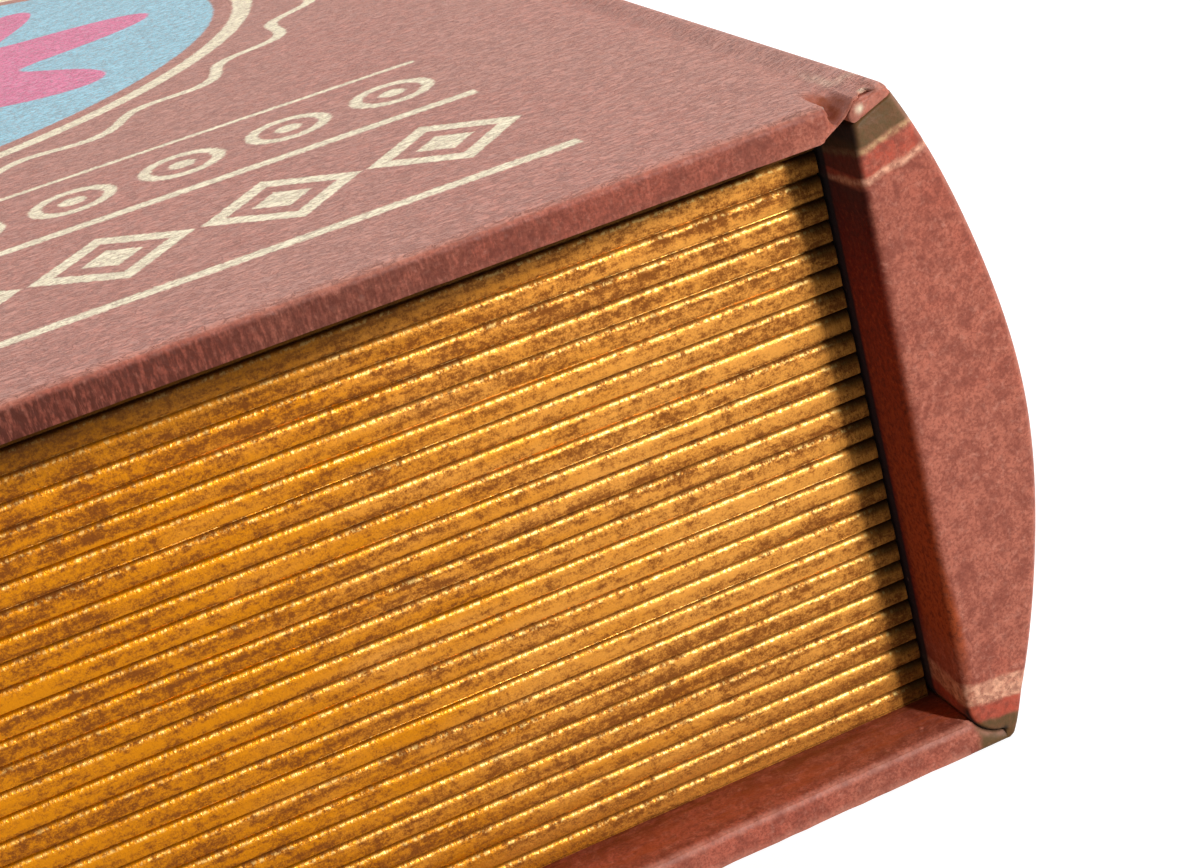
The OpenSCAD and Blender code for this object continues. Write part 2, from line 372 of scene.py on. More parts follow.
def new_group(name, inputs, outputs):
    """A node group with a place, named inputs with their defaults, and named outputs."""
    tree = bpy.data.node_groups.new(name, "ShaderNodeTree")
    tree.interface.new_socket("Place", in_out="INPUT", socket_type="NodeSocketVector")
    for label, default in inputs.items():
        socket = tree.interface.new_socket(label, in_out="INPUT", socket_type="NodeSocketFloat")
        socket.default_value = default
    for label in outputs:
        tree.interface.new_socket(label, in_out="OUTPUT", socket_type="NodeSocketFloat")
    start = tree.nodes.new("NodeGroupInput")
    end = tree.nodes.new("NodeGroupOutput")
    return Nodes(tree), start.outputs, end.inputs


def grain_group(name):
    """Leather grain as a height and a mask: soft pebbles, and where Flat is 1 short creases along X."""
    n, given, result = new_group(name, {"Size": 1.0, "Flat": 1.0}, ("Height", "Creases"))
    scale = n.math("DIVIDE", 1.0, given["Size"])
    along = n.stretch(given["Place"], (0.4, 1.35, 1.0))
    ridge = n.apart(n.noise(along, scale, 3.0, 0.6, 0.7), 0.5)
    crease = n.times(n.ramp(ridge, 0.07, 0.0), given["Flat"])
    pebble = n.noise(given["Place"], n.times(scale, 1.3), detail=2.0, roughness=0.5)
    fine = n.noise(given["Place"], n.times(scale, 5.0), detail=2.0, roughness=0.6)
    height = n.minus(n.times(pebble, 0.8), n.times(crease, 0.9))
    n.put(result["Height"], n.plus(height, n.times(fine, 0.2)))
    n.put(result["Creases"], crease)
    return n.tree


def pimple_group(name):
    """Small pimples scattered in patches, as a height from 0 to 1."""
    n, given, result = new_group(name, {"Spacing": 2.0, "Size": 0.3}, ("Height",))
    scale = n.math("DIVIDE", 1.0, given["Spacing"])
    wander = n.add("TexNoise", Vector=given["Place"], Scale=1.1, Detail=2.0).outputs["Color"]
    shift = n.vector_math("ADD", given["Place"], n.vector_math("SCALE", wander, scale=0.7))
    cells = n.add("TexVoronoi", {"feature": "F1"}, Vector=shift, Scale=scale, Randomness=1.0)
    away = n.times(cells.outputs["Distance"], given["Spacing"])
    patch = n.ramp(n.noise(given["Place"], 0.13, detail=2.0), 0.5, 0.62)
    n.put(result["Height"], n.times(n.ramp(away, given["Size"], 0.0), patch))
    return n.tree


def mottle_group(name):
    """Cloudy patches with fine grain in them, as a mask from 0 to 1."""
    n, given, result = new_group(name, {"Size": 10.0, "Low": 0.4, "High": 0.6}, ("Mask",))
    scale = n.math("DIVIDE", 1.0, given["Size"])
    cloud = n.noise(given["Place"], scale, detail=5.0, roughness=0.62, distortion=0.4)
    n.put(result["Mask"], n.ramp(cloud, given["Low"], given["High"]))
    return n.tree


def fibre_group(name):
    """Fibres of paper and board: a height, and a mask of the darker fibres."""
    n, given, result = new_group(name, {"Size": 1.0}, ("Height", "Fibres"))
    scale = n.math("DIVIDE", 1.0, given["Size"])
    runs = [
        n.noise(n.stretch(given["Place"], way), scale, detail=4.0, roughness=0.65, distortion=1.2)
        for way in ((0.35, 1.4, 1.4), (1.4, 0.35, 1.4))
    ]
    height = n.most(*runs)
    n.put(result["Height"], height)
    n.put(result["Fibres"], n.ramp(height, 0.6, 0.75))
    return n.tree


EFFECTS = {
    "Leather grain": grain_group, "Pimples": pimple_group, "Mottling": mottle_group,
    "Paper fibre": fibre_group,
}


def new_material(name):
    """An empty material with its Principled shader already joined to the output."""
    material = bpy.data.materials.new(name)
    material.use_nodes = True
    n = Nodes(material.node_tree)
    n.tree.nodes.clear()
    shader = n.add("BsdfPrincipled")
    n.tree.links.new(shader.outputs[0], n.add("OutputMaterial").inputs[0])
    return material, n, shader.inputs


def darker(value, share):
    """A colour cut down to a share of its light."""
    return tuple(c * share for c in value)


def end_depth(n, y):
    """Distance from the nearer end of the box, head or tail."""
    return n.minus(TAIL_Y, n.size(y))


def on_top(n, z):
    """1 on the lid's top and 0 below it."""
    return n.ramp(z, TOP_Z - 0.6, TOP_Z - 0.1)


def sheet_colours(n, sheet, place):
    """The sheet's mottled colour before anything is printed on it, with a painted sheen on the lid's
    top.
    """
    painted = sheet.ground

    # Size of the clouds, the noise they fade in over, how strong they are, and their colour
    for size, low, high, amount, paint in (
        (22.0, 0.42, 0.62, 0.6, sheet.patch), (1.4, 0.4, 0.64, 0.62, sheet.shade),
        (0.8, 0.5, 0.72, 0.35, sheet.worn), (0.3, 0.42, 0.62, 0.6, sheet.shade),
    ):
        mottling = n.effect("Mottling", place, Size=size, Low=low, High=high)["Mask"]
        painted = n.mix(n.times(mottling, amount), painted, paint)
    # Painted sheen: the lid's top is mixed towards the pale tone
    return n.mix(n.times(on_top(n, n.split(place)[2]), 0.4), painted, sheet.pale)


def printed_edge(n, place, distance, soft):
    """A mask that is 1 where distance is under 0, with the ragged edge of worn printing."""
    wander = n.noise(place, 1.7, detail=4.0, roughness=0.7)
    return n.ramp(n.plus(distance, n.times(n.minus(wander, 0.5), 1.3)), soft, -soft)


def shade_lid_edge(n, sheet, place, painted):
    """Painted shade down the lid's edge at head and tail, in short streaks, deeper to the fore edge."""
    x, y, z = n.split(place)
    edge = n.times(
        n.ramp(z, TOP_Z - 0.3, TOP_Z - 1.0), n.ramp(end_depth(n, y), 1.2, 0.5),
        n.ramp(z, LID_Z - 0.5, LID_Z), n.ramp(x, 71.0, 64.0), n.ramp(x, 74.0, -10.0, 0.35, 1.0),
    )
    streaks = n.noise(n.stretch(place, (3.0, 1.0, 0.8)), 0.8, detail=3.0, roughness=0.6)
    return n.mix(n.times(edge, n.ramp(streaks, 0.42, 0.66, 1.0, 0.55)), painted, sheet.edge)


def shade_shelf(n, sheet, place, painted):
    """Painted shade on the back cover's inner face, in long streaks, darkest beside the pages."""
    x, y, z = n.split(place)
    depth = end_depth(n, y)
    shelf = n.times(
        n.band(z, BASE_Z - 0.15, BASE_Z + 0.15, 0.1), n.ramp(depth, 1.0, 3.0),
        n.ramp(x, SPINE_FACE_X + 1.0, SPINE_FACE_X - 1.0),
    )
    streaks = n.noise(n.stretch(place, (0.25, 1.0, 1.0)), 0.9, detail=5.0, roughness=0.7)
    painted = n.mix(n.times(shelf, n.ramp(streaks, 0.35, 0.6, 0.6, 0.1)), painted, sheet.inner)
    # Painted shade: deepest beside the pages
    beside = n.times(shelf, n.ramp(depth, 3.5, 7.5))
    return n.mix(n.times(beside, n.ramp(streaks, 0.35, 0.6, 0.75, 0.3)), painted, sheet.edge)


def finish_sheet(n, inputs, sheet, place, painted):
    """Wear, grain and gloss, which the printed sheet has everywhere, with the painted shade and painted
    highlight that its masks carry.
    """
    wear = n.noise(place, 0.45, detail=5.0, roughness=0.7)
    # The rim mask holds worn edges and, on the joint, a painted highlight along the crease
    worn = n.times(n.mask("rim"), n.ramp(wear, 0.32, 0.62, 0.25, 1.0))
    painted = n.mix(n.times(worn, 0.45), painted, sheet.worn)
    painted = shade_lid_edge(n, sheet, place, painted)
    painted = shade_shelf(n, sheet, place, painted)
    folds = n.noise(n.stretch(place, (1.6, 0.5, 0.8)), 1.4, detail=3.0, roughness=0.6)
    # Painted shade in the pinched hollows, broken by fold streaks
    dark = n.times(n.mask("dark"), n.ramp(folds, 0.35, 0.62, 1.0, 0.6))
    # The bare mask holds bare spots and, on the joint, a little painted highlight along the crease
    bare = n.times(n.mask("bare"), n.ramp(wear, 0.3, 0.5, 0.5, 1.0))
    flat = on_top(n, n.split(place)[2])
    grain = n.effect("Leather grain", place, Size=sheet.grain_size * METRE, Flat=flat)
    pimple = n.effect("Pimples", place, Spacing=2.3, Size=0.42)["Height"]
    # Layers: painted shade in the hollows, bare spots with some painted highlight, painted shade in the
    # gaps, grain creases, pimples
    painted = n.coats(
        painted, (dark, sheet.hollow), (bare, sheet.cream), (n.times(n.mask("gap"), 0.95), sheet.gap_shade_colour),
        (n.times(grain["Creases"], 0.35), sheet.shade), (n.times(pimple, 0.3), sheet.worn),
    )
    n.put(inputs["Base Color"], painted)
    gloss = n.ramp(n.noise(place, 0.8, detail=3.0), 0.2, 0.8, 0.46, 0.6)
    n.put(inputs["Roughness"], n.most(gloss, dark, n.mask("inner")))
    n.put(inputs["Specular IOR Level"], 0.25)
    height = n.plus(grain["Height"], n.times(pimple, 1.2))
    n.put(inputs["Normal"], n.bump(height, sheet.grain_height, 1.0))


def lid_ornament(n, place):
    """Masks of the lid's ornament: its cream lines, the field of its round panel, and the petals."""
    x, y, z = n.split(place)
    across = n.minus(x, (FORE_X + LID_END_X) / 2)
    row_half = 59.5

    def phase(pitch):
        """Distance from the middle of the nearest repeat in a row across the lid."""
        run = n.math("MODULO", n.plus(across, row_half + 10 * pitch), pitch)
        return n.apart(run, pitch / 2)

    def lozenges(row_y, pitch, height):
        side = n.math("DIVIDE", phase(pitch), pitch / 2)
        rise = n.math("DIVIDE", n.apart(y, row_y), height / 2)
        reach = n.plus(side, rise)
        outline = n.minus(n.apart(reach, 0.82), 0.15)
        return n.times(n.least(outline, n.minus(reach, 0.36)), height / 2)

    def roundels(row_y, pitch, radius):
        away = n.vector_math("LENGTH", n.join(phase(pitch), n.minus(y, row_y), 0.0))
        ring = n.minus(n.apart(away, radius), 0.7)
        return n.least(ring, n.minus(away, radius * 0.36))

    def rule(row_y, half_width):
        return n.minus(n.apart(y, row_y), half_width)

    # Rows across the lid, from the head
    rows = n.least(
        rule(-107.5, 0.9), lozenges(-93.0, 17.0, 17.0), rule(-78.5, 0.9), roundels(-68.0, 11.9, 4.0),
        rule(-57.5, 0.5),
    )
    inside = n.ramp(n.size(across), row_half + 0.3, row_half - 0.1)
    cream = n.times(printed_edge(n, place, rows, 0.25), inside)

    # Round panel with a star of petals, a ring and a wavy border
    from_centre = n.minus(y, 18.0)
    radius = n.vector_math("LENGTH", n.join(across, from_centre, 0.0))
    angle = n.math("ARCTAN2", from_centre, across)

    def wave(repeats, height):
        return n.times(n.math("COSINE", n.times(angle, repeats)), height)

    ring = n.minus(n.apart(radius, 57.0), 1.3)
    wavy = n.minus(n.apart(n.plus(radius, wave(24.0, 1.8)), 65.0), 0.9)
    cream = n.most(cream, printed_edge(n, place, n.least(ring, wavy), 0.25))
    field = printed_edge(n, place, n.minus(radius, 53.0), 0.25)
    petals = printed_edge(n, place, n.minus(radius, n.plus(36.0, wave(8.0, 9.0))), 0.3)
    top = n.ramp(z, TOP_Z - 0.6, TOP_Z - 0.2)
    return [n.times(mask, top) for mask in (cream, field, petals)]


def add_ornament(n, sheet, place, painted):
    """Prints the lid's ornament over the sheet, with wear that lets the ground through."""
    cream, field, petals = lid_ornament(n, place)
    rubbed = n.ramp(n.noise(place, 1.5, detail=5.0, roughness=0.8), 0.34, 0.52, 0.5, 0.95)
    for mask, paint in ((field, sheet.blue), (petals, sheet.pink), (cream, sheet.cream)):
        painted = n.mix(n.times(mask, rubbed), painted, paint)
    return painted


def stripe_level(n, place):
    """Height at which the stripes are drawn, which leans and wanders a little from the true one."""
    x, y, z = n.split(place)
    inner = n.times(n.ramp(x, SPINE_FACE_X + 2.0, SPINE_FACE_X), n.least(end_depth(n, y), 9.0))
    dip = n.times(inner, n.ramp(z, 30.0, 50.0, -0.12, 0.12))
    across = n.minus(n.most(x, 73.2), 75.0)
    lean = n.times(across, n.ramp(z, 20.0, 45.0, 0.13, -0.235))
    wander = n.minus(n.noise(place, 0.5, detail=5.0, roughness=0.65), 0.5)
    return n.plus(z, n.plus(lean, dip, n.times(wander, 1.2)))


def add_stripes(n, sheet, place, painted):
    """Prints olive and red stripes with pale edges along both joints, over the ends of the spine too,
    and adds painted shade.
    """
    level = stripe_level(n, place)
    rubbed = n.times(
        n.ramp(n.noise(place, 0.9, detail=5.0, roughness=0.75), 0.38, 0.56, 0.2, 1.0),
        n.ramp(n.noise(place, 1.6, detail=4.0, roughness=0.7), 0.4, 0.58, 0.45, 1.0),
    )
    # Painted shade: the spine's sheet darker towards its top
    painted = n.mix(n.ramp(n.split(place)[2], 45.0, 62.0, 0.0, 0.16), painted, sheet.shade)

    # Lower and upper edge of each stripe, its colour, and how much of it no wear takes away
    for low, high, paint, least in (
        (65.3, 71.0, sheet.olive, 0.75), (64.7, 65.3, sheet.tan, 0.5), (62.5, 64.7, sheet.red, 0.1),
        (61.9, 62.5, sheet.salmon, 0.4), (4.85, 7.35, sheet.salmon, 0.35), (2.95, 4.85, sheet.red, 0.4),
        (-2.5, 2.95, sheet.olive, 0.8),
    ):
        laid = n.plus(n.times(rubbed, 0.92 - least), least)
        painted = n.mix(n.times(n.band(level, low, high, 0.32), laid), painted, paint)
    stained = n.ramp(n.noise(place, 1.3, detail=5.0, roughness=0.7), 0.46, 0.6, 0.0, 0.55)
    striped = n.most(n.band(level, 61.9, 65.3, 0.3), n.band(level, 2.95, 7.35, 0.3))
    painted = n.mix(n.times(striped, stained), painted, sheet.shade)
    return add_shade(n, sheet, place, painted)


def add_shade(n, sheet, place, painted):
    """Paints shade on the spine's inner side, deepest near its top and beside the pages, less where the
    stripes cross it, and blotchy all over.
    """
    x, y, z = n.split(place)
    depth = end_depth(n, y)
    reach = n.ramp(z, 24.0, 12.0, 0.45, 1.1)
    inner_side_shade = n.ramp(n.minus(x, reach), SPINE_FACE_X + 0.4, SPINE_FACE_X - 0.4, 0.0, 0.93)
    inner_side_shade = n.times(inner_side_shade, n.least(
        n.ramp(n.apart(z, 61.5), 0.4, 0.9, 0.4, 1.0), n.ramp(n.apart(z, 63.8), 1.2, 2.2, 0.8, 1.0),
        n.ramp(z, 8.0, 15.0, 0.2, 1.0),
    ))
    # Painted shade: deepest towards the top and towards the pages
    deep = n.most(n.ramp(z, 8.0, 62.0), n.ramp(depth, 5.2, 7.4))
    blotch = n.noise(place, 1.6, detail=5.0, roughness=0.75)
    shaded = n.coats(
        sheet.inner, (deep, sheet.inner_side_shade),
        (n.ramp(blotch, 0.45, 0.62, 0.0, 0.6), darker(sheet.inner_side_shade, 0.2)),
        (n.ramp(blotch, 0.46, 0.34, 0.0, 0.5), sheet.inner),
        (n.ramp(z, 48.0, 65.0, 0.0, 0.97), sheet.deep_shade),
    )
    # Painted shade: near black in the slit between the spine's inner side and the pages
    past_face = n.ramp(x, SPINE_FACE_X + 0.8, SPINE_FACE_X + 0.3)
    beside = n.times(n.ramp(depth, 6.7, 7.3, 0.0, 0.93), past_face)
    return n.coats(painted, (inner_side_shade, shaded), (beside, sheet.deep_shade))


def printed_sheet(name, ornament=False, striped=False, tip=False):
    """The sheet's material, with what is printed on this part of it, and its painted shade and
    highlight.
    """
    sheet = bpy.context.scene.book_box_sheet
    material, n, inputs = new_material(name)
    place = n.attribute("place")
    painted = sheet_colours(n, sheet, place)
    if striped:
        painted = add_stripes(n, sheet, place, painted)
    if ornament:
        painted = add_ornament(n, sheet, place, painted)
    if tip:
        reach = n.plus(n.split(place)[0], n.times(n.noise(place, 0.8, detail=4.0), 1.6))
        painted = n.mix(n.ramp(reach, 73.2, 74.4, 0.0, 0.9), painted, sheet.olive)
    finish_sheet(n, inputs, sheet, place, painted)
    return material


def gilt_ink(n, place, up, coarse):
    """How dense the brown speckle is: in long streaks, in blotches and in fine dots."""
    streak = n.noise(n.stretch(place, (0.035, 1.0, 0.8)), 1.0, detail=4.0, roughness=0.6)
    blotch = n.noise(n.stretch(place, (0.4, 1.0, 0.9)), 0.8, detail=3.0, roughness=0.5)
    fine = n.noise(place, 4.5, detail=1.0, roughness=0.9)
    density = n.plus(n.times(streak, 1.1), n.times(blotch, 0.9), n.times(n.mask("tone"), 0.14))
    density = n.minus(density, n.times(n.band(up, 0.66, 0.84, 0.08), 0.08))
    dots = n.plus(n.times(coarse, 1.4), n.times(fine, 0.6))
    return n.ramp(n.plus(density, dots), 1.81, 2.42)


def gilt_shade(n, x, z, up):
    """Painted shade on the foil: in its grooves, stronger towards the spine, under the lid's overhang,
    and where the spine's shadow falls.
    """
    # Painted shade in the grooves between the ribs
    groove = n.most(n.ramp(up, 0.03, 0.0), n.ramp(up, 0.88, 0.95))
    # Painted shade where the lid's overhang shades the top ribs
    under = n.ramp(z, n.ramp(x, 72.0, 10.0, 62.0, 57.5), PAGE_TOP_Z - 2.0, 0.0, 0.85)
    # Painted shadow of the spine's end over the ribs, blacker on their upper halves
    behind = n.times(n.mask("behind"), n.ramp(up, 0.3, 0.8, 0.5, 0.97))
    return n.most(n.times(groove, n.ramp(x, -40.0, 60.0, 0.5, 0.85)), under, behind)


def gilt_pages():
    """Gold foil over the ribs, with brown speckle and a painted highlight along their ridges."""
    pages = bpy.context.scene.book_box_pages
    material, n, inputs = new_material("gilt_pages")
    place = n.attribute("place")
    up = n.mask("up")
    x, _, z = n.split(place)
    coarse = n.noise(n.stretch(place, (0.7, 1.0, 1.0)), 1.8, detail=5.0, roughness=0.7)
    inked = gilt_ink(n, place, up, coarse)
    # Painted shade: the foil deepens towards the fore edge
    tint = n.noise(n.stretch(place, (0.2, 1.0, 1.0)), 0.4, detail=3.0)
    tint = n.plus(n.times(tint, 80.0), x)
    sparkle = n.noise(n.stretch(place, (1.3, 1.0, 1.0)), 1.5, detail=4.0, roughness=0.7)
    # Painted highlight along each ridge, broken up and stronger towards the spine
    ridge_highlight = n.times(
        n.band(up, 0.7, 0.82, 0.06), n.ramp(sparkle, 0.48, 0.58), n.ramp(x, -40.0, 60.0, 0.25, 0.72),
    )
    shade = gilt_shade(n, x, z, up)
    painted = n.coats(
        pages.gold, (n.ramp(tint, 100.0, 40.0), pages.fore_edge_shade_gold), (n.times(inked, 0.9), pages.ink),
        (ridge_highlight, pages.ridge_highlight), (shade, pages.shadow),
    )
    n.put(inputs["Base Color"], painted)
    n.put(inputs["Metallic"], 0.5)
    n.put(inputs["Specular Tint"], (1.0, 0.82, 0.35))
    n.put(inputs["Roughness"], n.ramp(n.most(inked, shade), 0.0, 1.0, 0.36, 0.8))
    crinkle = n.noise(n.stretch(place, (0.9, 1.0, 0.6)), 2.6, detail=3.0, roughness=0.6)
    n.put(inputs["Normal"], n.bump(crinkle, pages.crinkle * 10.0, 0.7))
    return material


def fibrous(name, ground, fibre_colour, fibre_size, height, roughness):
    """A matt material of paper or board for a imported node."""
    material, n, inputs = new_material(name)
    place = n.vector_math("SCALE", n.add("TexCoord").outputs["Object"], scale=METRE)
    fibre = n.effect("Paper fibre", place, Size=fibre_size)
    cloud = n.effect("Mottling", place, Size=14.0, Low=0.4, High=0.65)["Mask"]
    masks = n.times(cloud, 0.35), n.times(fibre["Fibres"], 0.5)
    n.put(inputs["Base Color"], n.coats(ground, *((mask, fibre_colour) for mask in masks)))
    n.put(inputs["Roughness"], roughness)
    n.put(inputs["Normal"], n.bump(fibre["Height"], height / METRE, 0.6))
    return material


def grid_quads(number):
    """Quads between the neighbours in a grid of point numbers."""
    corners = number[:-1, :-1], number[1:, :-1], number[1:, 1:], number[:-1, 1:]
    return np.stack(corners, -1).reshape(-1, 4)


def shell(us, vs, ws):
    """Lattice lines of a closed box in three directions: (the three values at each point, quads)."""
    shape = len(us), len(vs), len(ws)
    outside = np.zeros(shape, bool)
    outside[[0, -1]] = True
    outside[:, [0, -1]] = True
    outside[:, :, [0, -1]] = True
    number = np.full(shape, -1)
    number[outside] = np.arange(outside.sum())
    i, j, k = np.nonzero(outside)
    sides = (
        (number[:, :, 0], True), (number[:, :, -1], False), (number[:, 0], False),
        (number[:, -1], True), (number[0], True), (number[-1], False),
    )
    quads = []
    for side, flip in sides:
        quad = grid_quads(side)
        quads += (quad[:, ::-1] if flip else quad).tolist()
    return np.asarray(us)[i], np.asarray(vs)[j], np.asarray(ws)[k], quads


def new_piece(name, points, faces, material, place=None, **masks):
    """A smooth-shaded mesh object from points in millimetres, with its place and masks kept on it."""
    mesh = bpy.data.meshes.new(name)
    mesh.from_pydata((points / METRE).tolist(), [], faces)
    where = points if place is None else place
    kept = mesh.attributes.new("place", "FLOAT_VECTOR", "POINT")
    kept.data.foreach_set("vector", np.asarray(where, np.float32).ravel())
    for label, values in masks.items():
        kept = mesh.attributes.new(label, "FLOAT", "POINT")
        kept.data.foreach_set("value", np.asarray(values, np.float32))
    mesh.materials.append(material)
    mesh.shade_smooth()
    mesh.set_sharp_from_angle(angle=math.radians(SHARP_ANGLE))
    made = bpy.data.objects.new(name, mesh)
    bpy.context.scene.collection.objects.link(made)
    return made


def evenly(start, end, step):
    """Values from start to end, about step apart, without the end itself."""
    count = max(1, round(abs(end - start) / step))
    return list(np.linspace(start, end, count, endpoint=False))


def round_lines(radius):
    """Distances from an outline at which lines lie so that a round of that radius is even."""
    return [radius * (1 - math.tan(math.radians(45) * share)) for share in (1, 0.8, 0.6, 0.4, 0.2)]


def round_steps(degrees):
    """Where lines lie over a round of radius 1, measured from its edge, at some angles."""
    return 1 - np.cos(np.radians(degrees))


def waves(along, seed, lengths):
    """Small irregularities along an edge, around 1: three sine waves with fixed random phases."""
    phases = np.random.default_rng(seed).uniform(0, 2 * math.pi, len(lengths))
    heights = (0.4, 0.5, 0.5)
    total = sum(h * np.sin(2 * math.pi * along / w + p) for w, h, p in zip(lengths, heights, phases))
    return np.clip(1 + total, 0, None)


def smooth(value, low, high):
    """0 up to low and 1 from high on, with a smooth rise between them."""
    t = np.clip((value - low) / (high - low), 0, 1)
    return t * t * (3 - 2 * t)


def soften(x, y, z, low, high, plan_r, edge_r):
    """Rounds the fore edge, head and tail of a board, less so below, and its free corners from above."""
    core_x = low[0] + plan_r
    core_y = np.clip(y, low[1] + plan_r, high[1] - plan_r)
    dx = np.minimum(x - core_x, 0)
    dy = y - core_y
    out = np.maximum(np.abs(dx), np.abs(dy))
    size = np.maximum(np.hypot(dx, dy), 1e-9)
    core_z = np.clip(z, low[2] + edge_r, high[2] - edge_r)
    dz = z - core_z
    past = np.maximum(out - (plan_r - edge_r), 0)
    most = np.maximum(past, np.abs(dz))
    shrink = np.where(most > 0, most / np.maximum(np.hypot(past, dz), 1e-9), 1)
    shrink = np.where(dz < 0, 1 - 0.2 * (1 - shrink), shrink)
    rim = np.clip(np.minimum(past, np.abs(dz)) / (0.75 * edge_r), 0, 1)
    out = out - past + past * shrink
    side = np.where(dx < 0, core_x, x)
    return side + dx / size * out, core_y + dy / size * out, core_z + dz * shrink, rim


def board_lines(low, high, plan_r, edge_r, step):
    """Lattice lines over a board: fine along its rounded edges, and even between them."""
    rim = sorted({0.0, *round_lines(edge_r), edge_r, (edge_r + plan_r) / 2, plan_r})
    xs = [low[0] + r for r in rim[:-1]] + evenly(low[0] + plan_r, high[0] - 3.0, step)
    xs += evenly(high[0] - 3.0, high[0], 0.3) + [high[0]]
    ys = [low[1] + r for r in rim[:-1]] + evenly(low[1] + plan_r, low[1] + 7.0, 0.5)
    ys += evenly(low[1] + 7.0, high[1] - 7.0, step) + evenly(high[1] - 7.0, high[1] - plan_r, 0.5)
    ys += [high[1] - r for r in reversed(rim)]
    edge = sorted({0.0, *round_lines(edge_r), edge_r})
    zs = [low[2] + e for e in edge] + [(low[2] + high[2]) / 2] + [high[2] - e for e in reversed(edge)]
    return np.array(xs), np.array(ys), np.array(zs)


def cover_board(low, high, seed):
    """Points, quads and rim of a covered board whose spine end is left square."""
    sheet = bpy.context.scene.book_box_sheet
    plan_r = sheet.corner_radius * METRE
    edge_r = sheet.edge_radius * METRE
    x, y, z, quads = shell(*board_lines(low, high, plan_r, edge_r, 1.6))
    x, y, z, rim = soften(x, y, z, low, high, plan_r, edge_r)
    wander = sheet.waviness * METRE
    near_end = 1 - smooth(np.minimum(y - low[1], high[1] - y), 0.5, 3.0)
    near_end = near_end * (1 - smooth(x, high[0] - 6.0, high[0] - 1.0))
    y = y - np.sign(y) * near_end * wander * waves(x, seed, (3.1, 5.3, 11.0))
    near_fore = 1 - smooth(x - low[0], 0.5, 3.0)
    x = x + near_fore * wander * waves(y, seed + 1, (3.4, 6.1, 13.0))
    return x, y, z, quads, rim


def build_lid():
    """The lid: board and sheet, with the spine end slanted, and a shallow hollow underneath where the
    lining sits.
    """
    x, y, z, quads, rim = cover_board(LID_LOW, LID_HIGH, 11)
    end = LID_END_LOW_X + (LID_END_X - LID_END_LOW_X) * (z - LID_Z) / (TOP_Z - LID_Z)
    x = np.where(x > end, end, x)
    hollow = smooth(x, LINING_LOW[0] - 0.4, LINING_LOW[0] + 0.4)
    hollow *= smooth(-np.abs(y), -LINING_HIGH[1] - 0.4, -LINING_HIGH[1] + 0.4)
    z = np.where(z < LID_Z + 0.01, z + 0.3 * hollow, z)
    z, drop = pinched(x, y, np.maximum(z, np.where(x > 67.0, lip(x), 0)))
    rim = 0.3 * rim * (1 - smooth(x, 68.5, 70.5))
    points = np.stack([x, y, z], 1)
    sheet = printed_sheet("lid_sheet", ornament=True)
    # Painted shade in the pinched hollow at the lid's end beside the joint
    lid = new_piece("lid_covering", points, quads, sheet, rim=rim, dark=hollow_shade_mask(y, drop))
    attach(lid, "front_cover")
    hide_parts("front_cover_wrap")


def fold_half(offset):
    """Half the fold's width at an offset from its middle. It is a little flatter than a circle."""
    share = np.clip(np.abs(offset) / FOLD_R, 0, 1)
    return FOLD_R * (1 - share**FOLD_POWER) ** (1 / FOLD_POWER)


def fold_top(x):
    """Height of the back cover's inner face, which rounds down into the fold under the spine."""
    level = np.minimum(BASE_Z, FOLD_C_Z - fold_half(FOLD_C_X - x))
    return np.where(x > FOLD_C_X - FOLD_R, level, BASE_Z)


def end_distance(x, z, line_x, line_z):
    """Least distance from each point of an end face to an outline of straight steps."""
    least = np.full(x.shape, 1e9)
    for ax, az, bx, bz in zip(line_x[:-1], line_z[:-1], line_x[1:], line_z[1:]):
        ux, uz = bx - ax, bz - az
        t = np.clip(((x - ax) * ux + (z - az) * uz) / (ux * ux + uz * uz), 0, 1)
        least = np.minimum(least, np.hypot(x - ax - t * ux, z - az - t * uz))
    return least


def rounding(distance, radius):
    """How far an end face falls back at a distance from its rounded edge."""
    inside = np.clip(radius - distance, 0, radius)
    return radius - np.sqrt(radius**2 - inside**2)


def spot(x, z, at, size):
    """1 at one place of an end face, fading to 0 over the size."""
    return np.exp(-((x - at[0]) ** 2 + (z - at[1]) ** 2) / size**2)


def gap_shade_mask(on_end, away, window, x, z):
    """Painted shade in the line where the spine and the fold meet on an end face, and in the hole at its
    tip.
    """
    line = np.clip(1.2 - away / 0.25, 0, 1) * window
    return np.where(on_end, np.maximum(line, spot(x, z, (TIP_X, TIP_Z), 0.3)), 0)


def rim_mask(away, middle):
    """1 a little way in from an edge of an end face, fading to 0 on both sides."""
    return 1 - np.abs(away - middle) / 0.45


def end_rows(fine=1.6):
    """Lattice lines from the head's rounded end to the tail's, at the fine step near both."""
    start, stop = HEAD_Y + 1.0, HEAD_Y + 7.0
    rows = evenly(start, stop, fine) + evenly(stop, -stop, 1.6) + evenly(-stop, -start, fine)
    return np.array(rows + [-start])


def place_ends(y, fall):
    """Moves the two end faces of a lattice out to the head and tail, less what they fall back."""
    on_end = np.abs(y) > TAIL_Y - 1.0 - 0.01
    return np.where(on_end, np.sign(y) * (TAIL_Y - fall), y), on_end


def build_base():
    """The back cover, up to the fold under the spine."""
    high = np.array([SPINE_FACE_X - 0.6, BASE_HIGH[1], BASE_HIGH[2]])
    x, y, z, quads, rim = cover_board(BASE_LOW, high, 23)
    points = np.stack([x, y, z], 1)
    base = new_piece("base_covering", points, quads, printed_sheet("base_sheet"), rim=rim)
    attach(base, "box")
    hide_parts("back_cover_wrap")


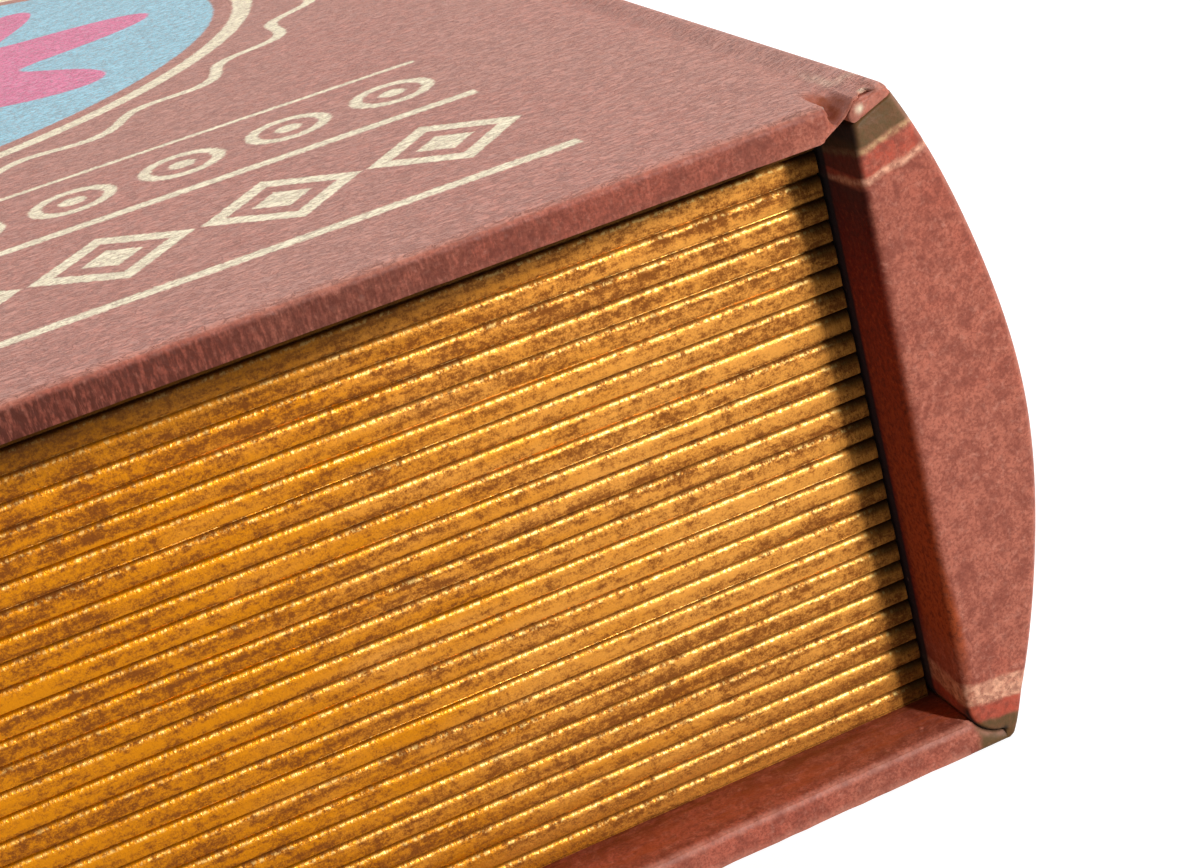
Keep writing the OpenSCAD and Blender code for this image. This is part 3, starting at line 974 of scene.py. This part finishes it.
def build_fold():
    """The fold under the spine, where the inner face rounds down to the spine's foot."""
    start_x = SPINE_FACE_X - 0.6
    us = start_x + (TIP_X - start_x) * np.sin(np.linspace(0, math.pi / 2, 26))
    steps = round_steps([0, 20, 40, 60, 75, 90]) / BASE_Z
    ts = np.concatenate([steps, [0.5], 1 - steps[::-1]])
    x, y, t, quads = shell(us, end_rows(), ts)
    z = t * fold_top(x)
    away = end_distance(x, z, [FORE_X, *us], [BASE_Z, *fold_top(us)])
    fall = np.maximum(rounding(away, 1.0), rounding(z, 0.25))
    y, on_end = place_ends(y, fall)
    gap = gap_shade_mask(on_end, away, smooth(x, SPINE_FACE_X, SPINE_FACE_X + 0.8), x, z)
    rim = np.where(on_end, np.clip(rim_mask(away, 0.3), 0, 1), 0)
    points = np.stack([x, y, z], 1)
    sheet = printed_sheet("fold_sheet", tip=True)
    fold = new_piece("fold_covering", points, quads, sheet, rim=rim, gap=gap)
    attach(fold, "box")
    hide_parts("back_joint_wrap")


def spine_left(z):
    """X of the spine's inner side at a height: foot, fold, flat face and sloped top."""
    fold = FOLD_C_X - fold_half(FOLD_C_Z - z)
    past = (z - SLOPE_Z) / SLOPE_RISE
    slope = SPINE_FACE_X + 0.5 * (past + np.sqrt(past**2 + 0.5**2))
    left = np.where(z < FOLD_C_Z, fold, slope)
    return np.where(z < FOLD_Z + 0.006, TIP_X, left)


def spine_right(z):
    """X of the spine's outer side at a height: the arc, flatter at its shoulders, and its foot."""
    arc = SPINE_C_X + np.sqrt(SPINE_R**2 - (z - MID_Z) ** 2)
    arc = arc - FLATTER * np.sin(math.pi * (z - MID_Z) / HALF_Z) ** 2
    foot_c = SPINE_C_X + math.sqrt((SPINE_R - FOOT_R) ** 2 - (MID_Z - FOOT_R) ** 2)
    foot = foot_c + np.sqrt(np.clip(FOOT_R**2 - (FOOT_R - z) ** 2, 0, None))
    foot_end = MID_Z - (MID_Z - FOOT_R) * SPINE_R / (SPINE_R - FOOT_R)
    return np.where(z < foot_end, foot, arc)


def build_spine():
    """The sheet over the spine's arc, its inner side and both of its D-shaped ends."""
    turn = np.radians(np.linspace(3.5, 90, 16))

    # Lattice heights: close together in the foot, the fold and the sloped top
    zs = [0.012, 0.05, 0.14, 0.28, 0.46, 0.68, 0.9, 1.08]
    zs += list(FOLD_C_Z - FOLD_R * np.cos(turn))
    zs += evenly(FOLD_C_Z + 0.5, SLOPE_Z - 1.0, 0.75)
    zs += list(np.linspace(SLOPE_Z - 1.0, SPINE_END_Z, 16))
    steps = round_steps([0, 15, 30, 45, 60, 75, 90])
    middle = np.linspace(0, 1, 17)[1:-1]
    us = np.concatenate([-2 + steps, middle, 3 - steps[::-1]])
    u, y, z, quads = shell(us, end_rows(), np.array(zs))
    left, right = spine_left(z), spine_right(z)
    width = right - left
    left_rim = np.minimum(1.2, 0.32 * width)
    right_rim = np.minimum(1.0, 0.32 * width)
    x = np.where(u < -0.5, left + (u + 2) * left_rim, right - (3 - u) * right_rim)
    inner = left + left_rim + u * (width - left_rim - right_rim)
    x = np.where((u > 0) & (u < 1), inner, x)
    level = np.array(zs)
    above = level[level > FOLD_Z]
    away_in = end_distance(x, z, spine_left(above), above)
    away_out = end_distance(x, z, spine_right(level), level)

    # Radius of the inner edge, which is sharper at its foot and under the lid, and of the outer one
    in_r = 0.5 + 0.7 * smooth(z, 4.5, 8.0) - 0.8 * smooth(z, 57.0, 64.0)
    out_r = 0.4 + 0.6 * smooth(z, 1.0, 5.0)
    fall = np.maximum(rounding(away_in, in_r), rounding(away_out, out_r))
    fall = np.maximum(fall, rounding(z, 0.25))

    # The end lies a little deeper beside the turned-in sheet
    fall = fall + 0.12 * smooth(z, 66.6, 67.8) * (1 - smooth(x, 75.0, 77.0))
    y, on_end = place_ends(y, fall)
    rim = np.where(on_end, np.clip(rim_mask(away_out, 0.25), 0, 0.7) * smooth(z, 3.0, 6.0), 0)
    points = np.stack([x, y, z], 1)
    gap = gap_shade_mask(on_end, away_in, 1 - smooth(z, 4.6, 5.6), x, z)
    inner = 1 - smooth(x - left, 0.3, 1.2)
    sheet = printed_sheet("spine_sheet", striped=True)
    spine = new_piece("spine_covering", points, quads, sheet, rim=rim, inner=inner, gap=gap)
    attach(spine, "box")
    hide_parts("spine_wrap")


def crest(x):
    """Height of the joint's outer face at a place across it, before it is pressed."""
    level = TOP_Z + (CREST_Z - TOP_Z) * smooth(x, 72.6, CREST_C_X + 0.6)
    past = np.clip(x - CREST_C_X, 0, CREST_R)
    return level - CREST_R + np.sqrt(CREST_R**2 - past**2)


def lip(x):
    """Height of the joint's lower edge at its ends, which rises from the lid, steeper past a bend."""
    def bend(past, slope, softness):
        return slope * (past + np.sqrt(past**2 + softness**2))

    return LID_Z + bend(x - LID_END_LOW_X + 0.2, 0.3, 0.3) + bend(x - LIP_BEND_X, 0.31, 0.2)


def pressed(x, y):
    """Height of the joint's outer face with its valley and pinched ends, and how far it is pressed."""
    sheet = bpy.context.scene.book_box_sheet
    level = crest(x)
    valley = sheet.valley_depth * METRE * np.exp(-(((x - VALLEY_X) / 1.7) ** 2))
    shoulder = smooth(x, 75.3, 76.6)
    end_level = np.minimum(lip(x) + 0.35, PINCH_Z + (level - 0.05 - PINCH_Z) * shoulder)
    window = smooth(x, LID_END_X - 0.5, LID_END_X + 0.6)
    most = np.clip(level - valley - end_level, 0, None) * window
    from_end = TAIL_Y - np.abs(y)
    dimple = 0.5 * window * (1 - smooth(x, 71.6, 72.4)) * smooth(from_end, 0.0, 1.5)
    beside = (most + dimple) * smooth(-from_end, -6.5, -1.2)
    creased = most * np.clip(1 - from_end / 4.8, 0, 1)
    drop = beside + (creased - beside) * smooth(x, 73.5, 74.0)
    return level - valley - drop, drop


def pinched(x, y, z):
    """Height of a point of the lid's end or the joint once the sheet is pressed in, and its own drop."""
    level = crest(x)
    flat_low = np.minimum(lip(x), level - SHEET_T)
    share = np.clip((z - flat_low) / (level - flat_low), 0, 1)
    top, drop = pressed(x, y)
    low = np.minimum(lip(x), top - SHEET_T)
    return z + (low - flat_low) * (1 - share) + (top - level) * share, drop * share


def hollow_shade_mask(y, drop):
    """How strong the painted shade is in a hollow: full where it is deep, less towards the cut end."""
    return smooth(drop, 0.05, 0.6) * (0.2 + 0.8 * smooth(TAIL_Y - np.abs(y), 0.2, 1.4))


def crease_highlight_mask(x, y):
    """Painted highlight: the pale line along the crease where the pressed end starts, and beside the
    valley behind it.
    """
    from_end = TAIL_Y - np.abs(y)
    across = np.exp(-(((from_end - 5.1) / 0.7) ** 2)) * smooth(x, 73.6, 74.2)
    along = np.exp(-(((x - 73.8) / 0.5) ** 2)) * smooth(from_end, 4.6, 5.2)
    return np.maximum(across, along * (1 - smooth(from_end, 7.0, 14.0)))


def joint_section(s, t):
    """X and height of the joint before it is pressed. t runs from its inner line, 0, to its outer, 1."""
    flat = CREST_C_X - LID_END_X
    along = s * (flat + CREST_R * CREST_SWEEP)
    angle = np.clip((along - flat) / CREST_R, 0, None)
    top_x = LID_END_X + np.minimum(along, flat) + CREST_R * np.sin(angle)
    low_x = LID_END_LOW_X + s * (CREST_END_X - 0.25 - LID_END_LOW_X)
    low_z = np.minimum(lip(low_x), crest(low_x) - SHEET_T)
    return low_x + (top_x - low_x) * t, low_z + (crest(top_x) - low_z) * t


def build_joint():
    """The folded sheet between the lid and the spine."""
    ss = np.linspace(0, 1, 90)
    s, y, t, quads = shell(ss, end_rows(0.4), np.linspace(0, 1, 18))
    x, flat_z = joint_section(s, t)
    end_z = pinched(x, HEAD_Y, flat_z)[0]
    away_low, away_top = (
        end_distance(x, end_z, line_x, pinched(line_x, HEAD_Y, line_z)[0])
        for line_x, line_z in (joint_section(ss, 0.0), joint_section(ss, 1.0))
    )
    top_r = 1.0 - 0.7 * smooth(x, LID_END_X, LID_END_X + 1.2) + 0.7 * smooth(x, 75.8, 76.8)
    fall = 0.06 + np.maximum(rounding(away_top, top_r), rounding(away_low, 0.2))

    # Between the valley and the crest the pinched end falls back into a hole
    fall = fall + 0.9 * smooth(x, 73.6, 74.4) * (1 - smooth(x, 75.0, 75.6))
    y, on_end = place_ends(y, fall)
    z, drop = pinched(x, y, flat_z)
    # Painted shade in the pinched hollows
    dark = hollow_shade_mask(y, drop)
    edge = np.where(on_end, np.clip(1.3 - away_low / 0.3, 0, 1) * smooth(x, 70.4, 71.4), 0)
    fleck = np.where(on_end, spot(x, end_z, FLECK, 0.4), 0)
    # Painted highlight along the crease, laid on through the rim and bare masks
    crease = crease_highlight_mask(x, y) * (t > 0.9)
    bare = np.where(on_end, 0.8 * spot(x, end_z, BARE_SPOT, 0.35), 0.2 * crease)
    points = np.stack([x, y, z], 1)
    # The rim mask holds the worn lip, the fleck and the painted crease highlight, and the bare mask
    # holds the bare spot and some of that highlight
    joint = new_piece(
        "joint_covering", points, quads, printed_sheet("joint_sheet"),
        rim=np.clip(0.8 * edge + fleck + crease, 0, 1), bare=bare, dark=dark * (1 - bare),
    )
    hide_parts("front_joint_wrap", "joint_lining")
    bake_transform(joint)


def turn_in_low(x):
    """Height of the spine's sloped top, on which the turned-in layer lies."""
    return SLOPE_Z + SLOPE_RISE * (x - SPINE_FACE_X) - 0.04


def turn_in_high(x):
    """Height of the turned-in layer under the joint: level at first, then up against the crest."""
    level = np.minimum(69.2 + 0.12 * (x - 73.2), lip(x) + 0.05)
    meets = smooth(x, 75.1, 75.9)
    return level * (1 - meets) + (crest(x) - SHEET_T + 0.02) * meets


def build_turn_in():
    """The sheet turned in over the top of the spine, whose cut end shows as a pale lobe."""
    rounded = TURN_IN_X + LOBE_R * round_steps(np.linspace(0, 90, 8)[:-1])
    xs = np.concatenate([rounded, np.linspace(TURN_IN_X + LOBE_R, CREST_END_X - 0.02, 10)])
    x, y, t, quads = shell(xs, end_rows(), np.linspace(0, 1, 12))
    middle = (turn_in_low(x) + turn_in_high(x)) / 2
    half = (turn_in_high(x) - turn_in_low(x)) / 2
    half = half * np.sqrt(1 - np.clip(1 - (x - TURN_IN_X) / LOBE_R, 0, 1) ** 2) + 0.01
    z = middle + (2 * t - 1) * half
    x = np.minimum(x, spine_right(z) - 0.01)
    away_low = end_distance(x, z, xs, turn_in_low(xs))
    away_high = end_distance(x, z, xs, turn_in_high(xs))
    away = np.minimum(away_high, np.clip(x - TURN_IN_X, 0, None) * 0.7)
    level = np.linspace(turn_in_low(xs[0]), turn_in_high(xs[-1]), 12)
    away_out = end_distance(x, z, spine_right(level), level)
    round_r = 0.6 - 0.25 * smooth(x, 73.2, 74.2)
    fall = np.maximum(rounding(away, round_r), rounding(away_out, 1.0))
    fall = np.maximum(fall, rounding(away_low, 0.2))
    y, on_end = place_ends(y, 0.02 + fall)
    bare = np.where(on_end, spot(x, z, LOBE_MARK, 0.33), 0)
    points = np.stack([x, y, z], 1)
    turn_in = new_piece(
        "joint_turn_in", points, quads, printed_sheet("turn_in_sheet"),
        rim=np.where(on_end, 0.8, 0.0), bare=bare,
    )
    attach(turn_in, "box")
    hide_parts("front_joint_wrap")


def rib_section():
    """Heights up the pages, how far the surface falls back there, and the share of the rib below it."""
    pages = bpy.context.scene.book_box_pages
    groove = pages.groove_width * METRE / RIB_PITCH
    rise = pages.rib_rise * METRE
    flat = 0.5
    reach = 1 - flat - groove
    fuller = 0.77
    turn = np.radians([8, 17, 27, 37, 47, 57, 66, 75, 83, 90])
    share = np.concatenate([[0, 0.004, 0.02, 0.1, flat], flat + reach * np.sin(turn) ** fuller])
    fall = np.concatenate([[1, 0.2, 0.07, 0, 0], 1 - np.cos(turn) ** fuller]) * rise
    levels = [BASE_Z, BASE_Z + 0.13]
    falls = [0.04, 0.04]
    ups = [0.3, 0.3]
    for rib in range(RIBS):
        levels += list(BASE_Z + (rib + share) * RIB_PITCH)
        falls += list(fall)
        ups += list(share)
    levels[2:5] = [BASE_Z + 0.15, BASE_Z + 0.17, BASE_Z + 0.2]
    return np.array(levels + [PAGE_TOP_Z]), np.array(falls + [rise]), np.array(ups + [1.0])


def facing_faces(shape):
    """Faces of a grid of points with sides and a back: (faces, the grid's points along its outline)."""
    number = np.arange(shape[0] * shape[1]).reshape(shape)
    edge = [*number[:, 0], *number[-1, 1:], *number[-2::-1, -1], *number[0, -2:0:-1]]
    ring = [number.size + i for i in range(len(edge))]
    faces = grid_quads(number).tolist()
    for i, here in enumerate(edge):
        after = (i + 1) % len(edge)
        faces.append([edge[after], here, ring[i], ring[after]])
    faces.append(ring[::-1])
    return faces, edge


def rib_facing(name, start, end, mitred_end, turn, back):
    """Ribs along one side of the tray. turn carries (along, fall, up) to the side's own place."""
    levels, falls, ups = rib_section()
    along = np.array(evenly(0, 1, 1.6 / (end - start)) + [0.9995, 1.0])
    grid_a, grid_k = np.meshgrid(along, np.arange(len(levels)), indexing="ij")
    z = levels[grid_k]
    fall = falls[grid_k].copy()
    place_x = start + grid_a * (end - start)
    rib = np.clip((z - BASE_Z) / RIB_PITCH, 0, RIBS - 0.01).astype(int)

    # Each rib stands out a little more or less, and wanders along its length
    rng = np.random.default_rng(5)
    lean = rng.uniform(-0.05, 0.05, RIBS)
    phase = rng.uniform(0, 2 * math.pi, RIBS)
    fall = fall + 0.06 + lean[rib] + 0.035 * np.sin(place_x / 17.0 + phase[rib])
    fall = np.clip(fall, 0, None)
    inner = (z > BASE_Z + 0.01) & (z < PAGE_TOP_Z - 0.01)
    z = z + np.where(inner, 0.04 * np.sin(place_x / 23.0 + 1.7 * phase[rib]), 0)
    first = start + fall
    last = end - fall if mitred_end else np.full_like(fall, end)
    x = first + grid_a * (last - first)
    if not mitred_end:
        fall = fall + rounding(end - x, 0.12)
    front = turn(x, fall, z).reshape(-1, 3)
    faces, edge = facing_faces(grid_a.shape)
    rear = turn(x, np.full_like(fall, back), z).reshape(-1, 3)[edge]

    def whole(values):
        """Values on the front, and the same on the back behind its outline."""
        return np.concatenate([values, values[edge]])

    tone = np.random.default_rng(9).uniform(0, 1, RIBS)[rib]
    # Painted shadow of the spine's end, where it falls over the head and tail ribs
    spine_shadow = np.zeros_like(x) if mitred_end else smooth(x, TRAY_X - 4.4, TRAY_X - 2.4)
    piece = new_piece(
        name, np.concatenate([front, rear]), faces,
        bpy.data.materials.get("gilt_pages") or gilt_pages(),
        place=whole(np.stack([x, np.zeros_like(x), z], -1).reshape(-1, 3)),
        up=whole(ups[grid_k].ravel()), tone=whole(tone.ravel()), behind=whole(spine_shadow.ravel()),
    )
    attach(piece, "box")
    return piece


def build_pages():
    """Ribs along head, tail and fore edge."""
    page_x, page_y = PAGES_LOW[0], PAGES_LOW[1]
    back = box_of("head_wall")[0][1] - page_y

    def head(x, fall, z):
        return np.stack([x, page_y + fall, z], -1)

    def tail(x, fall, z):
        return np.stack([x, -page_y - fall, z], -1)

    def fore(y, fall, z):
        return np.stack([page_x + fall, y, z], -1)

    piece = rib_facing("head_ribs", page_x, TRAY_X, False, head, back)
    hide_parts("head_page_ribs")
    piece = rib_facing("tail_ribs", page_x, TRAY_X, False, tail, back)
    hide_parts("tail_page_ribs")
    piece.data.flip_normals()
    piece = rib_facing("fore_edge_ribs", page_y, -page_y, True, fore, back)
    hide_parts("fore_edge_page_ribs")
    piece.data.flip_normals()


def dress_nodes():
    """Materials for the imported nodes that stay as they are."""
    tray = bpy.context.scene.book_box_tray
    pages = bpy.context.scene.book_box_pages
    lining = fibrous("lining_paper", tray.lining, darker(tray.lining, 0.6), 0.7, 0.05, 0.75)
    board = fibrous("grey_board", tray.board, darker(tray.board, 0.6), 0.5, 0.08, 0.9)
    wood = fibrous("fibreboard", tray.fibreboard, darker(tray.fibreboard, 0.6), 0.4, 0.08, 0.9)
    gilt = fibrous("gilt_paper", pages.gold, pages.ink, 0.6, 0.03, 0.45)
    looks = {
        lining: ("floor_lining", "head_lining", "tail_lining", "fore_edge_lining", "spine_lining",
                 "front_cover_lining", "joint_lining"),
        board: ("back_cover_board", "front_cover_board", "tray_floor"),
        wood: ("head_wall", "tail_wall", "fore_edge_wall", "spine_wall", "spine_block"),
        gilt: ("rim_paper",),
    }
    for material, names in looks.items():
        for name in names:
            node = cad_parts[name]
            node.data.materials.clear()
            node.data.materials.append(material)


def background_rays(n):
    """1 for the rays that show the background: the camera's own, and those off gilt or gloss."""
    path = n.add("LightPath").outputs
    return n.most(path["Is Camera Ray"], path["Is Glossy Ray"], path["Is Transmission Ray"])


def build_floor():
    """A pale floor that shows the box's shadow, and white around it."""
    stage = bpy.context.scene.book_box_stage
    material, n, inputs = new_material("pale_floor")
    n.put(inputs["Base Color"], stage.floor)
    n.put(inputs["Roughness"], 0.9)
    n.put(inputs["Emission Color"], (1.0, 1.0, 1.0))
    n.put(inputs["Emission Strength"], n.times(background_rays(n), 0.8))
    reach, level = 4000.0, -0.02
    points = np.array([[x * reach, y * reach, level] for x, y in ((-1, -1), (1, -1), (1, 1), (-1, 1))])
    floor = new_piece("floor", points, [[0, 1, 2, 3]], material)


def build_world():
    """Soft light from all round, stronger from behind and above, on a white background."""
    stage = bpy.context.scene.book_box_stage
    world = bpy.data.worlds.new("studio")
    bpy.context.scene.world = world
    world.use_nodes = True
    n = Nodes(world.node_tree)
    n.tree.nodes.clear()
    x, y, _ = n.split(n.add("TexCoord").outputs["Generated"])
    back = n.plus(n.times(y, 0.9), n.times(x, 0.3))
    glow = n.ramp(back, 0.0, 0.4, stage.sky * 0.03, stage.sky * 1.15)
    seen = background_rays(n)
    strength = n.plus(n.times(glow, n.minus(1.0, seen)), seen)
    light = n.add("Background", Color=(1.0, 1.0, 1.0), Strength=strength)
    n.tree.links.new(light.outputs[0], n.add("OutputWorld").inputs[0])


def add_lamp(name, azimuth, elevation, size, power):
    """An area lamp that looks at the box. Azimuth 0 is in front of the head, 90 beyond the spine."""
    data = bpy.data.lights.new(name, "AREA")
    data.shape = "DISK"
    data.size = size
    data.energy = power
    lamp = bpy.data.objects.new(name, data)
    a, e = math.radians(azimuth), math.radians(elevation)
    away = (math.sin(a) * math.cos(e), -math.cos(a) * math.cos(e), math.sin(e))
    lamp.location = [c * LAMP_DISTANCE for c in away]
    lamp.rotation_euler = (math.radians(90) - e, 0.0, a)
    bpy.context.scene.collection.objects.link(lamp)


def build_camera():
    """The photograph's camera, which looks over the head end towards the spine."""
    stage = bpy.context.scene.book_box_stage
    data = bpy.data.cameras.new("camera")
    data.lens = stage.lens
    data.sensor_width = SENSOR_WIDTH
    data.sensor_fit = "HORIZONTAL"
    data.clip_start = 0.01
    camera = bpy.data.objects.new("camera", data)
    camera.location = CAMERA_PLACE
    camera.rotation_euler = [math.radians(a) for a in CAMERA_TURN]
    bpy.context.scene.collection.objects.link(camera)
    bpy.context.scene.camera = camera


class BOOKBOX_OT_lid(bpy.types.Operator):
    """Build the lid's covering"""

    bl_idname = "bookbox.lid"
    bl_label = "Lid"

    def execute(self, context):
        build_lid()
        return {"FINISHED"}


class BOOKBOX_OT_joint(bpy.types.Operator):
    """Build the folded sheet between the lid and the spine, and its turned-in end"""

    bl_idname = "bookbox.joint"
    bl_label = "Joint"

    def execute(self, context):
        build_joint()
        build_turn_in()
        return {"FINISHED"}


class BOOKBOX_OT_spine(bpy.types.Operator):
    """Build the covering of the spine"""

    bl_idname = "bookbox.spine"
    bl_label = "Spine"

    def execute(self, context):
        build_spine()
        return {"FINISHED"}


class BOOKBOX_OT_base(bpy.types.Operator):
    """Build the covering of the back cover"""

    bl_idname = "bookbox.base"
    bl_label = "Back Cover"

    def execute(self, context):
        build_base()
        return {"FINISHED"}


class BOOKBOX_OT_fold(bpy.types.Operator):
    """Build the fold between the back cover and the spine"""

    bl_idname = "bookbox.fold"
    bl_label = "Lower Fold"

    def execute(self, context):
        build_fold()
        return {"FINISHED"}


class BOOKBOX_OT_pages(bpy.types.Operator):
    """Build the gilt ribs along head, tail and fore edge"""

    bl_idname = "bookbox.pages"
    bl_label = "Page Ribs"

    def execute(self, context):
        build_pages()
        return {"FINISHED"}


class BOOKBOX_OT_tray(bpy.types.Operator):
    """Dress the boards, walls and linings"""

    bl_idname = "bookbox.tray"
    bl_label = "Tray"

    def execute(self, context):
        dress_nodes()
        return {"FINISHED"}


class BOOKBOX_OT_stage(bpy.types.Operator):
    """Build the floor, the world, the lamps and the camera"""

    bl_idname = "bookbox.stage"
    bl_label = "Stage"

    def execute(self, context):
        stage = context.scene.book_box_stage
        build_floor()
        build_world()
        add_lamp("key_lamp", azimuth=27.0, elevation=22.0, size=0.1, power=stage.key_power)
        add_lamp("top_lamp", azimuth=165.0, elevation=60.0, size=0.9, power=stage.key_power * 0.58)
        build_camera()
        context.scene.view_settings.view_transform = "Standard"
        return {"FINISHED"}


OPERATORS = (
    BOOKBOX_OT_lid, BOOKBOX_OT_joint, BOOKBOX_OT_spine, BOOKBOX_OT_fold, BOOKBOX_OT_base,
    BOOKBOX_OT_pages, BOOKBOX_OT_tray, BOOKBOX_OT_stage,
)
SETTINGS = {
    "book_box_sheet": BookBoxSheet, "book_box_pages": BookBoxPages,
    "book_box_tray": BookBoxTray, "book_box_stage": BookBoxStage,
}


class BOOKBOX_PT_panel(bpy.types.Panel):
    """Settings and builders of the book box"""

    bl_label = "Book Box"
    bl_space_type = "VIEW_3D"
    bl_region_type = "UI"
    bl_category = "Book Box"

    def draw(self, context):
        for name, group in SETTINGS.items():
            box = self.layout.box()
            settings = getattr(context.scene, name)
            for field in group.__annotations__:
                box.prop(settings, field)
        for operator in OPERATORS:
            self.layout.operator(operator.bl_idname)


def register():
    for group in SETTINGS.values():
        bpy.utils.register_class(group)
    for operator in OPERATORS:
        bpy.utils.register_class(operator)
    bpy.utils.register_class(BOOKBOX_PT_panel)
    for name, group in SETTINGS.items():
        setattr(bpy.types.Scene, name, bpy.props.PointerProperty(type=group))


def unregister():
    for name in SETTINGS:
        delattr(bpy.types.Scene, name)
    bpy.utils.unregister_class(BOOKBOX_PT_panel)
    for operator in reversed(OPERATORS):
        bpy.utils.unregister_class(operator)
    for group in reversed(SETTINGS.values()):
        bpy.utils.unregister_class(group)


def main():
    """Builds everything through the operators."""
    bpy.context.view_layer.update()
    register()
    for operator in OPERATORS:
        group, name = operator.bl_idname.split(".")
        getattr(getattr(bpy.ops, group), name)()


if __name__ == "__main__":
    main()
